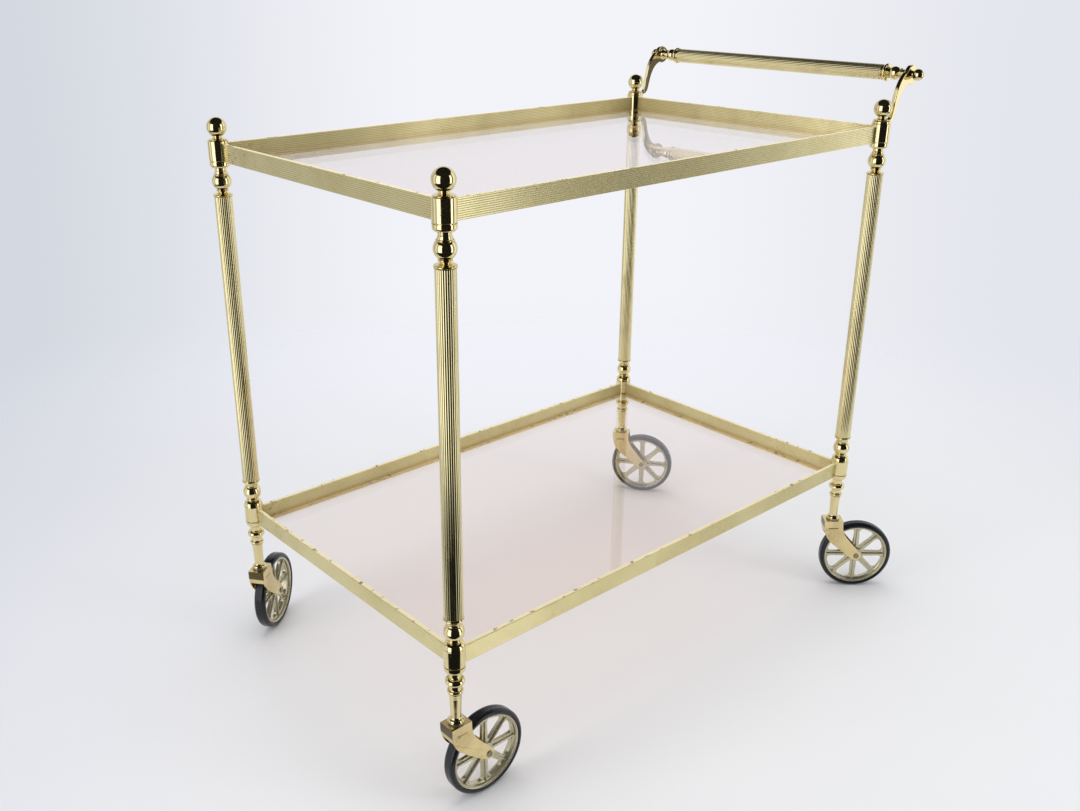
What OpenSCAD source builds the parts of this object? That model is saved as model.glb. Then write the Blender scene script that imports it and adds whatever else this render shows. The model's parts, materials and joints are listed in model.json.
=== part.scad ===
// Two-tier brass and glass trolley on four spoked swivel casters.
// X runs along the long side towards the push handle, Y across, Z up.
// The origin is on the floor, at the centre of the whole trolley's outline.

/* [Trolley] */
// Distance between leg axes along the long side
leg_span_x = 680; // [560:1:800]
// Distance between leg axes along the short side
leg_span_y = 412; // [340:1:480]
// Height of the lower tray's posts above the floor
low_post_z = 169.3; // [160:0.1:200]
// Bare length of each reeded leg between the trays
leg_len = 357.1; // [280:1:440]

/* [Legs and posts] */
// Diameter over the reeds of a leg tube
leg_d = 20; // [18:0.1:21]
// Number of reeds round a leg or the grip
reed_count = 24; // [18:1:26]
// Depth of each groove between two reeds
reed_depth = 0.7; // [0.4:0.05:1]
// Bore of the leg tubes
leg_bore_d = 15; // [12:0.1:15.5]
// Diameter of the plain corner posts
post_d = 23.2; // [22.4:0.1:25]
// Length of the plain part of each corner post
post_len = 26; // [24.6:0.1:30]
// Height of the moulded skirt under a corner post
skirt_h = 7; // [5.5:0.1:9]
// Diameter of the turned balls
ball_d = 22; // [20:0.1:23]
// Diameter of the flange rings that cap a tube
flange_d = 22; // [21.6:0.1:23]
// Thickness of a flange ring
flange_t = 3; // [1.6:0.1:3.4]
// Diameter of the finial balls
finial_d = 22.4; // [20:0.1:24]
// Height of the finial's neck below its ball
finial_neck_h = 4; // [3:0.1:6]
// Height of the turned piece between upper post and leg, without its flange
upper_turn_h = 26.8; // [25.5:0.1:32]
// Height of the turned piece between leg and lower post, without its flange
lower_turn_h = 33; // [31:0.1:38]
// Diameter of the steel rod that draws each leg together
rod_d = 6; // [5:0.1:7]
// Clearance round the rod in the turned pieces
rod_clear = 0.3; // [0.2:0.05:0.5]

/* [Trays] */
// Height of a tray rail
rail_h = 20; // [19:0.1:21]
// Thickness of a tray rail
rail_t = 5.5; // [5:0.1:6.5]
// Distance of a rail's outer face outside the leg axes
rail_out = 1.5; // [0.5:0.1:2.5]
// Thickness of the ledge that carries the glass
ledge_t = 1.2; // [1:0.1:2]
// How far the ledge reaches in from the rail
ledge_w = 7; // [5:0.1:9]
// Number of fine lines along a rail's faces
rail_lines = 9; // [6:1:11]
// Depth of the lines along a rail
rail_line_depth = 0.35; // [0.2:0.05:0.5]
// Width of the groove along a rail's top
top_groove_w = 1.2; // [0.8:0.1:1.6]
// Depth of the groove along a rail's top
top_groove_depth = 0.6; // [0.3:0.05:1]
// Thickness of a glass shelf
glass_t = 4; // [3:0.1:6]
// Clearance between glass and rail
glass_clear = 1; // [0.6:0.1:1.5]
// Clearance between glass corner and post
corner_clear = 1.5; // [1:0.1:3]
// Diameter of the clear pads under the glass
pad_d = 6; // [5:0.1:6.5]
// Thickness of the pads under the glass
pad_t = 0.6; // [0.4:0.1:1]
// Diameter of the screws that hold the rails to the posts
screw_d = 3; // [2:0.1:4]
// Length of the screws in a rail's end
screw_len = 9; // [7:0.1:12]
// How far a screw's head end lies inside the post
screw_in = 3; // [2:0.1:4]
// Clearance round a screw in its pilot hole
screw_clear = 0.05; // [0.02:0.01:0.1]

/* [Handle] */
// Distance of the grip's axis beyond the end legs
grip_out = 54; // [46:0.5:66]
// Height of the grip's axis above the upper posts
grip_rise = 54.8; // [44:0.2:66]
// Diameter over the reeds of the grip
grip_d = 19; // [17:0.1:19.6]
// Bore of the grip tube
grip_bore_d = 14; // [12:0.1:14.4]
// Thickness of the brackets, across the trolley
bracket_w = 5.6; // [5:0.1:8]
// Thickness of a bracket's foot under the finial
bracket_foot_t = 3.5; // [3:0.1:4.5]
// Radius of the eye that holds the grip's end
bracket_eye_r = 11.8; // [10.4:0.1:13]
// Thickness of a bracket's arm where it leaves the foot
bracket_arm_t = 6.5; // [5:0.1:7.5]
// Thickness of a bracket's arm where it meets the eye
bracket_neck_t = 19; // [15:0.1:20]
// Diameter of the small balls at the handle's ends
end_ball_d = 14.4; // [12:0.1:16]
// Length of each turned collar between bracket and grip
collar_len = 36; // [34:0.1:40]
// Diameter of the turned bead on a collar
collar_bead_d = 16.8; // [15:0.1:18]

/* [Caster stems] */
// Diameter of the stem at its head
stem_top_d = 12.4; // [11:0.1:13]
// Diameter of the stem at its foot
stem_foot_d = 11; // [9.5:0.1:12]
// Diameter of the large disc over the stem
disc_d = 20.4; // [18:0.1:22]
// Thickness of the large disc
disc_t = 8; // [6:0.1:9]
// Diameter of the small disc over the stem
small_disc_d = 17; // [15:0.1:18]
// Thickness of the small disc
small_disc_t = 4; // [3:0.1:4.4]
// Diameter of the washer foot at the stem's base
foot_ring_d = 17.6; // [16:0.1:18]
// Height of the washer foot at the stem's base
foot_ring_h = 5; // [4:0.1:6]

/* [Casters] */
// Diameter of the wheel over the tyre
wheel_d = 100; // [92:0.5:104]
// Distance of the axle behind the swivel axis
trail = 36.7; // [34:0.1:40]
// Height of the fork's top plate above the axle
fork_rise = 55; // [54:0.1:60]
// Thickness of the fork's sheet
fork_t = 1.6; // [1.4:0.1:2]
// Width of the fork over its arms
fork_w = 20.6; // [20.4:0.1:24]
// Length of the fork's top plate
fork_len = 26; // [24:0.1:30]
// Drop of the fork's front wall
fork_front_h = 18; // [14:0.1:20]
// Radius of a fork arm's rounded end
arm_end_r = 6.5; // [6:0.1:8]
// Diameter of the axle
axle_d = 6; // [5:0.1:6.4]
// Diameter of the axle's rivet heads
rivet_d = 7.6; // [7:0.1:9]
// Running clearance between axle and hub, on the radius
axle_run = 0.05; // [0.02:0.01:0.08]
// Width of the tyre
tyre_w = 15.6; // [12:0.1:15.8]
// Radius of the tyre's rounded shoulders
tyre_round = 4.6; // [3:0.1:5]
// Radial thickness of the tyre outside the rim
tyre_t = 5.4; // [4.8:0.1:8]
// Radial width of the wheel's rim
rim_t = 5; // [4:0.1:6]
// Width of the wheel centre's rim
rim_w = 13.6; // [11:0.1:13.8]
// Width of the spokes' web
web_w = 4; // [3:0.1:6]
// Height of the rib on each side of a spoke
spoke_rib_h = 2; // [1:0.1:2.6]
// Width of the rib along a spoke
spoke_rib_w = 2.6; // [2:0.1:4]
// Number of spokes in a wheel
spokes = 8; // [6:1:10]
// Width of the web between two windows at the rim
spoke_root_w = 7; // [5:0.1:9]
// Radius of a window's round corners
window_round = 4.2; // [3:0.1:5]
// Radius of a window's tip
window_tip_r = 1.4; // [1:0.1:2]
// Distance of a window's tip from the hub
window_tip_out = 5; // [3:0.1:7]
// Diameter of the wheel's hub
hub_d = 19; // [16:0.1:22]
// Width of the hub between the fork arms
hub_w = 16.6; // [15.9:0.1:16.8]
// Diameter of the pin on which a fork swivels
swivel_pin_d = 7; // [6:0.1:8]
// Running clearance between swivel pin and fork, on the radius
swivel_run = 0.05; // [0.02:0.01:0.08]
// Heading of the near caster at rest
near_heading = 0; // [-180:1:180]
// Heading of the left caster at rest
left_heading = 38; // [-180:1:180]
// Heading of the right caster at rest
right_heading = -42; // [-180:1:180]
// Heading of the far caster at rest
far_heading = -54; // [-180:1:180]

/* [Hidden] */
$fn = 64;
eps = 0.01;
half_x = leg_span_x / 2;
half_y = leg_span_y / 2;
CORNERS = ["near", "left", "right", "far"];
function corner_xy(c) = c == "near" ? [-half_x, -half_y]
    : c == "left" ? [-half_x, half_y]
    : c == "right" ? [half_x, -half_y]
    : [half_x, half_y];
function heading(c) = c == "near" ? near_heading
    : c == "left" ? left_heading
    : c == "right" ? right_heading
    : far_heading;
function at_handle(c) = c == "right" || c == "far";

// Levels up a leg, from the floor
low_post_top_z = low_post_z + post_len + 2;
low_post_len = low_post_top_z - low_post_z;
low_turn_top_z = low_post_top_z + lower_turn_h;
leg_z = low_turn_top_z + flange_t;
leg_top_z = leg_z + leg_len;
up_turn_z = leg_top_z + flange_t;
up_skirt_z = up_turn_z + upper_turn_h;
up_post_z = up_skirt_z + skirt_h;
up_post_top_z = up_post_z + post_len;
low_rail_z = low_post_z + (low_post_len - rail_h) / 2;
up_rail_z = up_post_z + (post_len - rail_h) / 2;
up_turn_ball_z = up_turn_z + 14.2;
low_turn_ball_z = low_post_top_z + 18.6;
skirt_neck_d = 12;
collar_dome_h = 7.4;
collar_ring_z = 4.2;
collar_bead_z = 17.4;
end_ball_gap = 0.3;
tenon_h = 6;

// Casters
axle_z = wheel_d / 2;
plate_z = axle_z + fork_rise;
race_d = 18;
race_t = 1.2;
plate_gap = 0.3;
stem_z = plate_z + race_t + plate_gap;
stem_head_z = low_post_z - skirt_h;
disc_z = low_post_z - 14.3;
small_disc_z = low_post_z - 25.4;
arm_gap = (fork_w - 2 * fork_t) / 2;
rim_r = wheel_d / 2 - tyre_t;
window_r = rim_r - rim_t;
hub_bore_d = axle_d + 2 * axle_run;
plate_bore_d = swivel_pin_d + 2 * swivel_run;
dash_len = 13;
dash_h = 1.4;
dash_drop = 11;

// Trays
glass_lift = ledge_t + pad_t;
inner_x = leg_span_x + 2 * (rail_out - rail_t);
inner_y = leg_span_y + 2 * (rail_out - rail_t);
glass_x = inner_x - 2 * glass_clear;
glass_y = inner_y - 2 * glass_clear;
post_saddle = 0.15;

// Handle
grip_z = up_post_top_z + grip_rise;
grip_x = half_x + grip_out;
grip_half = half_y - bracket_w / 2 - collar_len;

// The whole outline: the tyres reach furthest, or the handle's eyes
function tyre_reach(a) = (wheel_d / 2 - tyre_round) * abs(cos(a))
    + (tyre_w / 2 - tyre_round) * abs(sin(a)) + tyre_round;
reach_pos_x = max([for (c = CORNERS) corner_xy(c)[0] + trail * cos(heading(c))
    + tyre_reach(heading(c))]);
reach_neg_x = min([for (c = CORNERS) corner_xy(c)[0] + trail * cos(heading(c))
    - tyre_reach(heading(c))]);
reach_pos_y = max([for (c = CORNERS) corner_xy(c)[1] + trail * sin(heading(c))
    + tyre_reach(heading(c) + 90)]);
reach_neg_y = min([for (c = CORNERS) corner_xy(c)[1] + trail * sin(heading(c))
    - tyre_reach(heading(c) + 90)]);
mid_x = (max(reach_pos_x, grip_x + bracket_eye_r) + reach_neg_x) / 2;
mid_y = (reach_pos_y + reach_neg_y) / 2;

brass = "#c9a64e";
satin_brass = "#b49a55";
steel = "#9a9a98";
rubber = "#1b1e21";
wheel_grey = "#a59d74";
glass_tint = "#cbb9b6";

// ---- Shared shapes -------------------------------------------------------

// Puts its children on the axis of one leg
module at_corner(c) {
    xy = corner_xy(c);
    translate([xy[0] - mid_x, xy[1] - mid_y, 0]) children();
}

// Puts its children in a caster's own frame: X trails towards the wheel
module at_caster(c) {
    at_corner(c) rotate([0, 0, heading(c)]) children();
}

// A ring with a half-round edge
module bead(d, h, z) {
    translate([0, 0, z]) rotate_extrude() {
        square([d / 2 - h / 2, h]);
        translate([d / 2 - h / 2, h / 2]) intersection() {
            circle(d = h);
            translate([0, -h / 2]) square([h / 2, h]);
        }
    }
}

// A hollow waist between two diameters, cut by a quarter-round cove
module cove(d_wide, d_neck, z, up = true) {
    r = (d_wide - d_neck) / 2;
    translate([0, 0, z]) mirror([0, 0, up ? 0 : 1]) rotate_extrude() difference() {
        square([d_wide / 2, r]);
        translate([d_wide / 2, r]) circle(r = r);
    }
}

module cone(d_low, d_high, h, z) {
    translate([0, 0, z]) cylinder(d1 = d_low, d2 = d_high, h = h);
}

module rod_hole(z_low, z_high) {
    translate([0, 0, z_low - 1]) cylinder(d = rod_d + 2 * rod_clear, h = z_high - z_low + 2);
}

// Cross-section of a reeded tube: rounded reeds round a hollow core
module reeded_section(d, bore) {
    core_r = d / 2 - reed_depth;
    pitch = 360 / reed_count;
    reed_r = core_r * sin(pitch / 2) * 1.02;
    difference() {
        union() {
            circle(r = core_r);
            for (i = [0 : reed_count - 1]) {
                rotate(i * pitch) translate([d / 2 - reed_r, 0]) circle(r = reed_r, $fn = 32);
            }
        }
        circle(d = bore);
    }
}

// ---- Legs ----------------------------------------------------------------

// Ball finial: a ball on a hollow neck over a moulded foot
module finial(c) {
    lift = at_handle(c) ? bracket_foot_t : 0;
    foot_z = up_post_top_z + lift;
    ball_z = foot_z + finial_neck_h + finial_d / 2 - 0.9;
    color(brass) at_corner(c) difference() {
        union() {
            bead(post_d - 3, 1.6, foot_z);
            cove(post_d - 5, 9.4, foot_z + 1.6);
            translate([0, 0, foot_z]) cylinder(d = 9.4, h = ball_z - foot_z);
            translate([0, 0, ball_z]) sphere(d = finial_d);
        }
        rod_hole(foot_z, foot_z + tenon_h);
    }
}

// Plain post of the upper tray with the moulded skirt under it
module upper_post(c) {
    color(brass) at_corner(c) difference() {
        union() {
            translate([0, 0, up_post_z]) cylinder(d = post_d, h = post_len);
            skirt(up_post_z);
        }
        rod_hole(up_skirt_z, up_post_top_z);
        screw_holes(c, up_rail_z);
    }
}

// The skirt swells out from its neck to meet the post in a fine step
module skirt(top_z) {
    step_h = 0.8;
    body_h = skirt_h - step_h;
    round_r = body_h * 0.62;
    translate([0, 0, top_z - step_h]) cylinder(d = post_d - 1.4, h = step_h + eps);
    translate([0, 0, top_z - skirt_h]) rotate_extrude() {
        square([skirt_neck_d / 2, body_h]);
        translate([0, body_h - round_r]) square([post_d / 2 - 0.4 - round_r, round_r]);
        translate([post_d / 2 - 0.4 - round_r, body_h]) intersection() {
            circle(r = round_r);
            translate([0, -round_r]) square(round_r);
        }
        polygon([[0, 0], [skirt_neck_d / 2, 0],
            [post_d / 2 - 0.4 - round_r, body_h - round_r], [0, body_h - round_r]]);
    }
}

// Turned piece between the reeded leg and the upper post
module upper_turning(c) {
    neck_d = 11;
    shoulder_z = up_turn_ball_z + ball_d / 2 - 2;
    color(brass) at_corner(c) difference() {
        union() {
            bead(flange_d, flange_t, leg_top_z);
            cove(ball_d - 5, neck_d - 1.4, up_turn_z);
            translate([0, 0, leg_top_z]) cylinder(d = neck_d - 1.4, h = upper_turn_h + flange_t);
            bead(neck_d + 2.6, 2.2, up_turn_z + 3.2);
            translate([0, 0, up_turn_ball_z]) sphere(d = ball_d);
            cone(16.6, 14.6, 1.6, shoulder_z);
            bead(16.4, 1.8, shoulder_z - 0.6);
            cone(14.4, skirt_neck_d - 1, up_skirt_z - shoulder_z - 1.2, shoulder_z + 1.2);
        }
        rod_hole(leg_top_z, up_skirt_z);
    }
}

// Reeded leg tube
module leg(c) {
    color(satin_brass) at_corner(c) translate([0, 0, leg_z])
        linear_extrude(leg_len) reeded_section(leg_d, leg_bore_d);
}

// Turned piece between the lower post and the reeded leg
module lower_turning(c) {
    neck_d = 11;
    color(brass) at_corner(c) difference() {
        union() {
            bead(flange_d, flange_t, low_turn_top_z);
            translate([0, 0, low_post_top_z]) cylinder(d = neck_d, h = lower_turn_h + flange_t);
            cone(neck_d, 16.4, 4.6, low_turn_top_z - 4.6);
            bead(17, 2.4, low_turn_top_z - 4.4);
            translate([0, 0, low_turn_ball_z]) sphere(d = ball_d);
            bead(15, 2, low_turn_ball_z - ball_d / 2 - 0.6);
            intersection() {
                translate([0, 0, low_post_top_z]) sphere(d = post_d - 0.6);
                translate([0, 0, low_post_top_z]) cylinder(d = post_d, h = collar_dome_h);
            }
        }
        rod_hole(low_post_top_z, low_turn_top_z + flange_t);
    }
}

// Plain post of the lower tray with the moulded skirt under it
module lower_post(c) {
    color(brass) at_corner(c) difference() {
        union() {
            translate([0, 0, low_post_z]) cylinder(d = post_d, h = low_post_len);
            skirt(low_post_z);
        }
        rod_hole(stem_head_z, low_post_top_z);
        screw_holes(c, low_rail_z);
    }
}

// Stem below the lower post: two discs, a slim taper and a washer foot
module stem(c) {
    color(brass) at_corner(c) difference() {
        union() {
            translate([0, 0, disc_z]) cylinder(d = skirt_neck_d - 1, h = stem_head_z - disc_z);
            bead(disc_d, disc_t, disc_z - disc_t / 2);
            translate([0, 0, small_disc_z]) cylinder(d = stem_top_d, h = disc_z - small_disc_z);
            bead(small_disc_d, small_disc_t, small_disc_z - small_disc_t / 2);
            cone(stem_top_d, stem_top_d + 1.4, 4, small_disc_z - 6);
            cone(stem_foot_d, stem_top_d, small_disc_z - 5 - stem_z, stem_z);
            cone(foot_ring_d, stem_foot_d, foot_ring_h - 2, stem_z + 2);
            bead(foot_ring_d, 2, stem_z);
        }
        translate([0, 0, disc_z]) cylinder(d = rod_d + 2 * rod_clear, h = stem_head_z);
    }
    color(steel) at_corner(c) {
        translate([0, 0, plate_z - fork_t - 2.4]) cylinder(d = swivel_pin_d, h = stem_z - plate_z + fork_t + 2.4 + 2);
        translate([0, 0, plate_z - fork_t - 0.3 - 1.5]) cylinder(d = swivel_pin_d + 4, h = 1.5);
    }
}

// Steel rod that draws one leg's pieces together, from stem to finial
module leg_rods() {
    color(steel) for (c = CORNERS) {
        lift = at_handle(c) ? bracket_foot_t : 0;
        at_corner(c) translate([0, 0, disc_z])
            cylinder(d = rod_d, h = up_post_top_z + lift + tenon_h - disc_z);
    }
}

module upper_turnings() {
    for (c = CORNERS) upper_turning(c);
}

module lower_turnings() {
    for (c = CORNERS) lower_turning(c);
}

// ---- Casters -------------------------------------------------------------

// Ball race between the stem's foot and the fork's top plate
module swivel_races() {
    color(steel) for (c = CORNERS) at_corner(c) translate([0, 0, plate_z + plate_gap])
        difference() {
            cylinder(d = race_d, h = race_t);
            translate([0, 0, -1]) cylinder(d = swivel_pin_d + 2 * rod_clear, h = race_t + 2);
        }
}

// Side view of a fork arm, from the hood down to the axle
module arm_outline() {
    front = -fork_len / 2;
    back = fork_len / 2;
    hull() {
        translate([front, plate_z - 14]) square([fork_len, 14]);
        translate([front + 9, plate_z - 25]) circle(r = 6);
        translate([back - 1, plate_z - 20]) circle(r = 3.4);
    }
    hull() {
        translate([front + 9, plate_z - 25]) circle(r = 6);
        translate([back - 1, plate_z - 20]) circle(r = 3.4);
        translate([trail, axle_z]) circle(r = arm_end_r);
    }
}

// Stamped fork: a flat hood with a front wall and two raked arms
module fork(c) {
    front = -fork_len / 2;
    color(brass) at_caster(c) difference() {
        union() {
            translate([front, -fork_w / 2, plate_z - fork_t]) cube([fork_len, fork_w, fork_t]);
            intersection() {
                translate([front, -fork_w / 2, plate_z - fork_front_h])
                    cube([fork_t, fork_w, fork_front_h]);
                rotate([90, 0, 90]) linear_extrude(height = fork_len * 2, center = true) hull() {
                    translate([-fork_w / 2, plate_z - 6]) square([fork_w, 6]);
                    for (s = [-1, 1]) {
                        translate([s * (fork_w / 2 - 5), plate_z - fork_front_h + 5]) circle(r = 5);
                    }
                }
            }
            for (s = [-1, 1]) {
                translate([0, s * (fork_w / 2 - fork_t / 2) + fork_t / 2, 0])
                    rotate([90, 0, 0]) linear_extrude(fork_t) arm_outline();
            }
            for (s = [-1, 1]) {
                translate([-dash_len / 2, s * (fork_w / 2 - eps) - 0.3, plate_z - dash_drop])
                    cube([dash_len, 0.6, dash_h]);
            }
        }
        translate([0, 0, plate_z - fork_t - 1]) cylinder(d = plate_bore_d, h = fork_t + 2);
        translate([trail, fork_w, axle_z]) rotate([90, 0, 0]) cylinder(d = axle_d, h = 2 * fork_w);
    }
}

// Riveted axle with a dished head on each side
module axle(c) {
    head_t = 1.1;
    color(steel) at_caster(c) translate([trail, 0, axle_z]) rotate([90, 0, 0]) {
        cylinder(d = axle_d, h = fork_w, center = true);
        for (s = [-1, 1]) {
            translate([0, 0, s * (fork_w / 2 + head_t / 2)]) difference() {
                cylinder(d = rivet_d, h = head_t, center = true);
                translate([0, 0, s * (head_t + 0.6)]) sphere(d = rivet_d * 0.62);
            }
        }
    }
}

// One teardrop window between two spokes, pointed at the hub and round at the rim
module window() {
    half_angle = 180 / spokes;
    tip_x = hub_d / 2 + window_tip_out;
    out_x = window_r - window_round;
    spread = out_x * tan(half_angle) - spoke_root_w / 2 - window_round;
    lean = atan(spread / (out_x - tip_x)) + asin((window_round - window_tip_r)
        / norm([out_x - tip_x, spread]));
    side = [-sin(lean), cos(lean)];
    intersection() {
        circle(r = window_r);
        union() {
            translate([tip_x, 0]) circle(r = window_tip_r);
            for (s = [-1, 1]) translate([out_x, s * spread]) circle(r = window_round);
            polygon([[tip_x + window_tip_r * side[0], window_tip_r * side[1]],
                [out_x + window_round * side[0], spread + window_round * side[1]],
                [out_x + window_round, spread],
                [out_x + window_round, -spread],
                [out_x + window_round * side[0], -spread - window_round * side[1]],
                [tip_x + window_tip_r * side[0], -window_tip_r * side[1]]]);
        }
    }
}

// Cast wheel centre: stepped rim, ribbed spokes, teardrop windows and a hub
module wheel(c) {
    step = 1.6;
    color(wheel_grey) at_caster(c) translate([trail, 0, axle_z]) rotate([90, 0, 0]) difference() {
        union() {
            difference() {
                cylinder(r = rim_r, h = rim_w, center = true, $fn = 96);
                for (s = [-1, 1]) {
                    translate([0, 0, s * (rim_w / 2)])
                        cylinder(r = window_r + step, h = rim_w - web_w - 2 * step, center = true);
                }
                cylinder(r = window_r, h = rim_w + 2, center = true);
            }
            linear_extrude(web_w, center = true) difference() {
                circle(r = window_r + 0.5);
                for (i = [0 : spokes - 1]) rotate((i + 0.5) * 360 / spokes) window();
            }
            for (i = [0 : spokes - 1]) {
                rotate([0, 0, i * 360 / spokes]) translate([0, -spoke_rib_w / 2, -web_w / 2 - spoke_rib_h])
                    cube([window_r + 0.3, spoke_rib_w, web_w + 2 * spoke_rib_h]);
            }
            cylinder(d = hub_d, h = web_w + 2 * spoke_rib_h + 1, center = true);
            cylinder(d = hub_d * 0.66, h = hub_w, center = true);
        }
        cylinder(d = hub_bore_d, h = hub_w + 2, center = true);
    }
}

// Rubber tyre with a rounded tread
module tyre(c) {
    seat_r = rim_r;
    color(rubber) at_caster(c) translate([trail, 0, axle_z]) rotate([90, 0, 0])
        rotate_extrude($fn = 96) intersection() {
            translate([seat_r, -tyre_w]) square([tyre_w, 2 * tyre_w]);
            union() {
                translate([0, -tyre_w / 2 + tyre_round])
                    square([wheel_d / 2, tyre_w - 2 * tyre_round]);
                translate([0, -tyre_w / 2]) square([wheel_d / 2 - tyre_round, tyre_w]);
                for (s = [-1, 1]) {
                    translate([wheel_d / 2 - tyre_round, s * (tyre_w / 2 - tyre_round)])
                        circle(r = tyre_round);
                }
            }
        }
}

// ---- Trays ---------------------------------------------------------------

// Cross-section of a rail, outer face at x = 0, ledge to the right
module rail_section() {
    pitch = rail_h / (rail_lines + 1);
    difference() {
        union() {
            square([rail_t, rail_h]);
            square([rail_t + ledge_w, ledge_t]);
        }
        for (i = [1 : rail_lines]) {
            translate([0, i * pitch]) rotate(45)
                square(rail_line_depth * sqrt(2), center = true);
            if (i * pitch > glass_lift + glass_t + 1) {
                translate([rail_t, i * pitch]) rotate(45)
                    square(rail_line_depth * sqrt(2), center = true);
            }
        }
        translate([(rail_t - top_groove_w) / 2, rail_h - top_groove_depth])
            square([top_groove_w, top_groove_depth + 1]);
    }
}

// Takes away what the posts at both ends of a rail need
module clear_of_posts(z) {
    difference() {
        children();
        for (c = CORNERS) at_corner(c) {
            translate([0, 0, z - 1]) cylinder(d = post_d + 2 * post_saddle, h = rail_h + 2);
            screw_holes(c, z);
        }
    }
}

// Rail along a long side; side is -1 for the front and 1 for the back
module long_rail(side, z) {
    color(satin_brass) clear_of_posts(z) translate([-mid_x, -mid_y, 0])
        intersection() {
            translate([-half_x, side * (half_y + rail_out), z])
                mirror([0, side > 0 ? 1 : 0, 0])
                rotate([90, 0, 90]) linear_extrude(leg_span_x) rail_section();
            mitre(z);
        }
}

// Rail along a short side; side is -1 for the left and 1 for the right
module short_rail(side, z) {
    color(satin_brass) clear_of_posts(z) translate([-mid_x, -mid_y, 0])
        difference() {
            translate([side * (half_x + rail_out), -half_y, z])
                mirror([side > 0 ? 1 : 0, 0, 0])
                rotate([90, 0, 180]) mirror([1, 0, 0]) linear_extrude(leg_span_y) rail_section();
            mitre(z);
        }
}

// Space of the long rails: everything nearer to a long side than to a short one
module mitre(z) {
    far_out = rail_out + 1;
    for (s = [-1, 1]) {
        translate([0, 0, z - 1]) linear_extrude(rail_h + 2) polygon([
            [-half_x - far_out, s * (half_y + far_out)],
            [half_x + far_out, s * (half_y + far_out)],
            [half_x - half_y, 0],
            [-half_x + half_y, 0]]);
    }
}

// Puts its children on each screw's axis at one corner, Z towards the rail
module at_screws(c, z) {
    xy = corner_xy(c);
    sx = xy[0] > 0 ? -1 : 1;
    sy = xy[1] > 0 ? -1 : 1;
    rail_mid = rail_t / 2 - rail_out;
    translate([0, 0, z + rail_h / 2]) {
        translate([0, sy * rail_mid, 0]) rotate([0, sx * 90, 0]) children();
        translate([sx * rail_mid, 0, 0]) rotate([-sy * 90, 0, 0]) children();
    }
}

// Screws from inside the posts into the rails' ends
module rail_screws() {
    color(steel) for (c = CORNERS, z = [low_rail_z, up_rail_z]) {
        at_corner(c) at_screws(c, z) translate([0, 0, post_d / 2 - screw_in])
            cylinder(d = screw_d, h = screw_len);
    }
}

// Pilot holes for the screws at one corner
module screw_holes(c, z) {
    at_screws(c, z) translate([0, 0, post_d / 2 - screw_in - screw_clear])
        cylinder(d = screw_d + 2 * screw_clear, h = screw_len + 2 * screw_clear);
}

// Clear pads on the ledges, under both glass shelves
module glass_pads() {
    color("white") for (z = [low_rail_z, up_rail_z], sx = [-1, 1], sy = [-1, 1]) {
        translate([sx * inner_x / 4 - mid_x, sy * (inner_y / 2 - ledge_w / 2) - mid_y, z + ledge_t])
            cylinder(d = pad_d, h = pad_t);
    }
}

// Glass shelf with its corners cut round the posts
module glass(rail_z) {
    color(glass_tint, 0.45) translate([-mid_x, -mid_y, rail_z + glass_lift])
        linear_extrude(glass_t) difference() {
            square([glass_x, glass_y], center = true);
            for (sx = [-1, 1], sy = [-1, 1]) {
                translate([sx * half_x, sy * half_y]) circle(r = post_d / 2 + corner_clear);
            }
        }
}

// ---- Handle --------------------------------------------------------------

// Puts its children on the grip's axis, with Z along it towards the far side
module on_grip_axis() {
    translate([grip_x - mid_x, -mid_y, grip_z]) rotate([-90, 0, 0]) children();
}

module grip_tube() {
    color(satin_brass) on_grip_axis() translate([0, 0, -grip_half])
        linear_extrude(2 * grip_half) reeded_section(grip_d, grip_bore_d);
}

// Turned collars: a flange ring, a bead and a waist between grip and bracket
module grip_collars() {
    color(brass) on_grip_axis() for (s = [0, 1]) mirror([0, 0, s]) difference() {
        translate([0, 0, grip_half]) {
            cylinder(d = 9.6, h = collar_len);
            bead(grip_d + 0.4, 2, 0);
            cylinder(d = grip_d - 2.6, h = collar_ring_z);
            bead(grip_d + 3, 4, collar_ring_z);
            bead(14, 1.8, collar_ring_z + 4.4);
            translate([0, 0, collar_bead_z]) sphere(d = collar_bead_d);
            bead(13.4, 2.6, collar_bead_z + collar_bead_d / 2 - 0.4);
            cone(11, 15, 5.4, collar_len - 5.4);
        }
        rod_hole(grip_half, grip_half + collar_len);
    }
}

// Threaded rod inside the grip, from end ball to end ball
module grip_rod() {
    reach = half_y + bracket_w / 2 + tenon_h;
    color(steel) on_grip_axis() translate([0, 0, -reach]) cylinder(d = rod_d, h = 2 * reach);
}

// A point on the bracket arm's middle line, from foot to eye
function arm_point(t) =
    let (a = [13, bracket_foot_t / 2], b = [30, -1], c = [16, grip_rise - 11.5],
        d = [grip_out - 3, grip_rise - 1])
    pow(1 - t, 3) * a + 3 * pow(1 - t, 2) * t * b + 3 * (1 - t) * t * t * c + t * t * t * d;

function arm_side(t, s) =
    let (step = 0.01, p = arm_point(t), q = arm_point(t + step), r = arm_point(t - step),
        v = (q - r) / norm(q - r),
        half = (t < 0.25 ? bracket_foot_t + (bracket_arm_t - bracket_foot_t) * t / 0.25
            : bracket_arm_t + (bracket_neck_t - bracket_arm_t) * pow((t - 0.25) / 0.75, 2)) / 2)
    p + s * half * [-v[1], v[0]];

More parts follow.
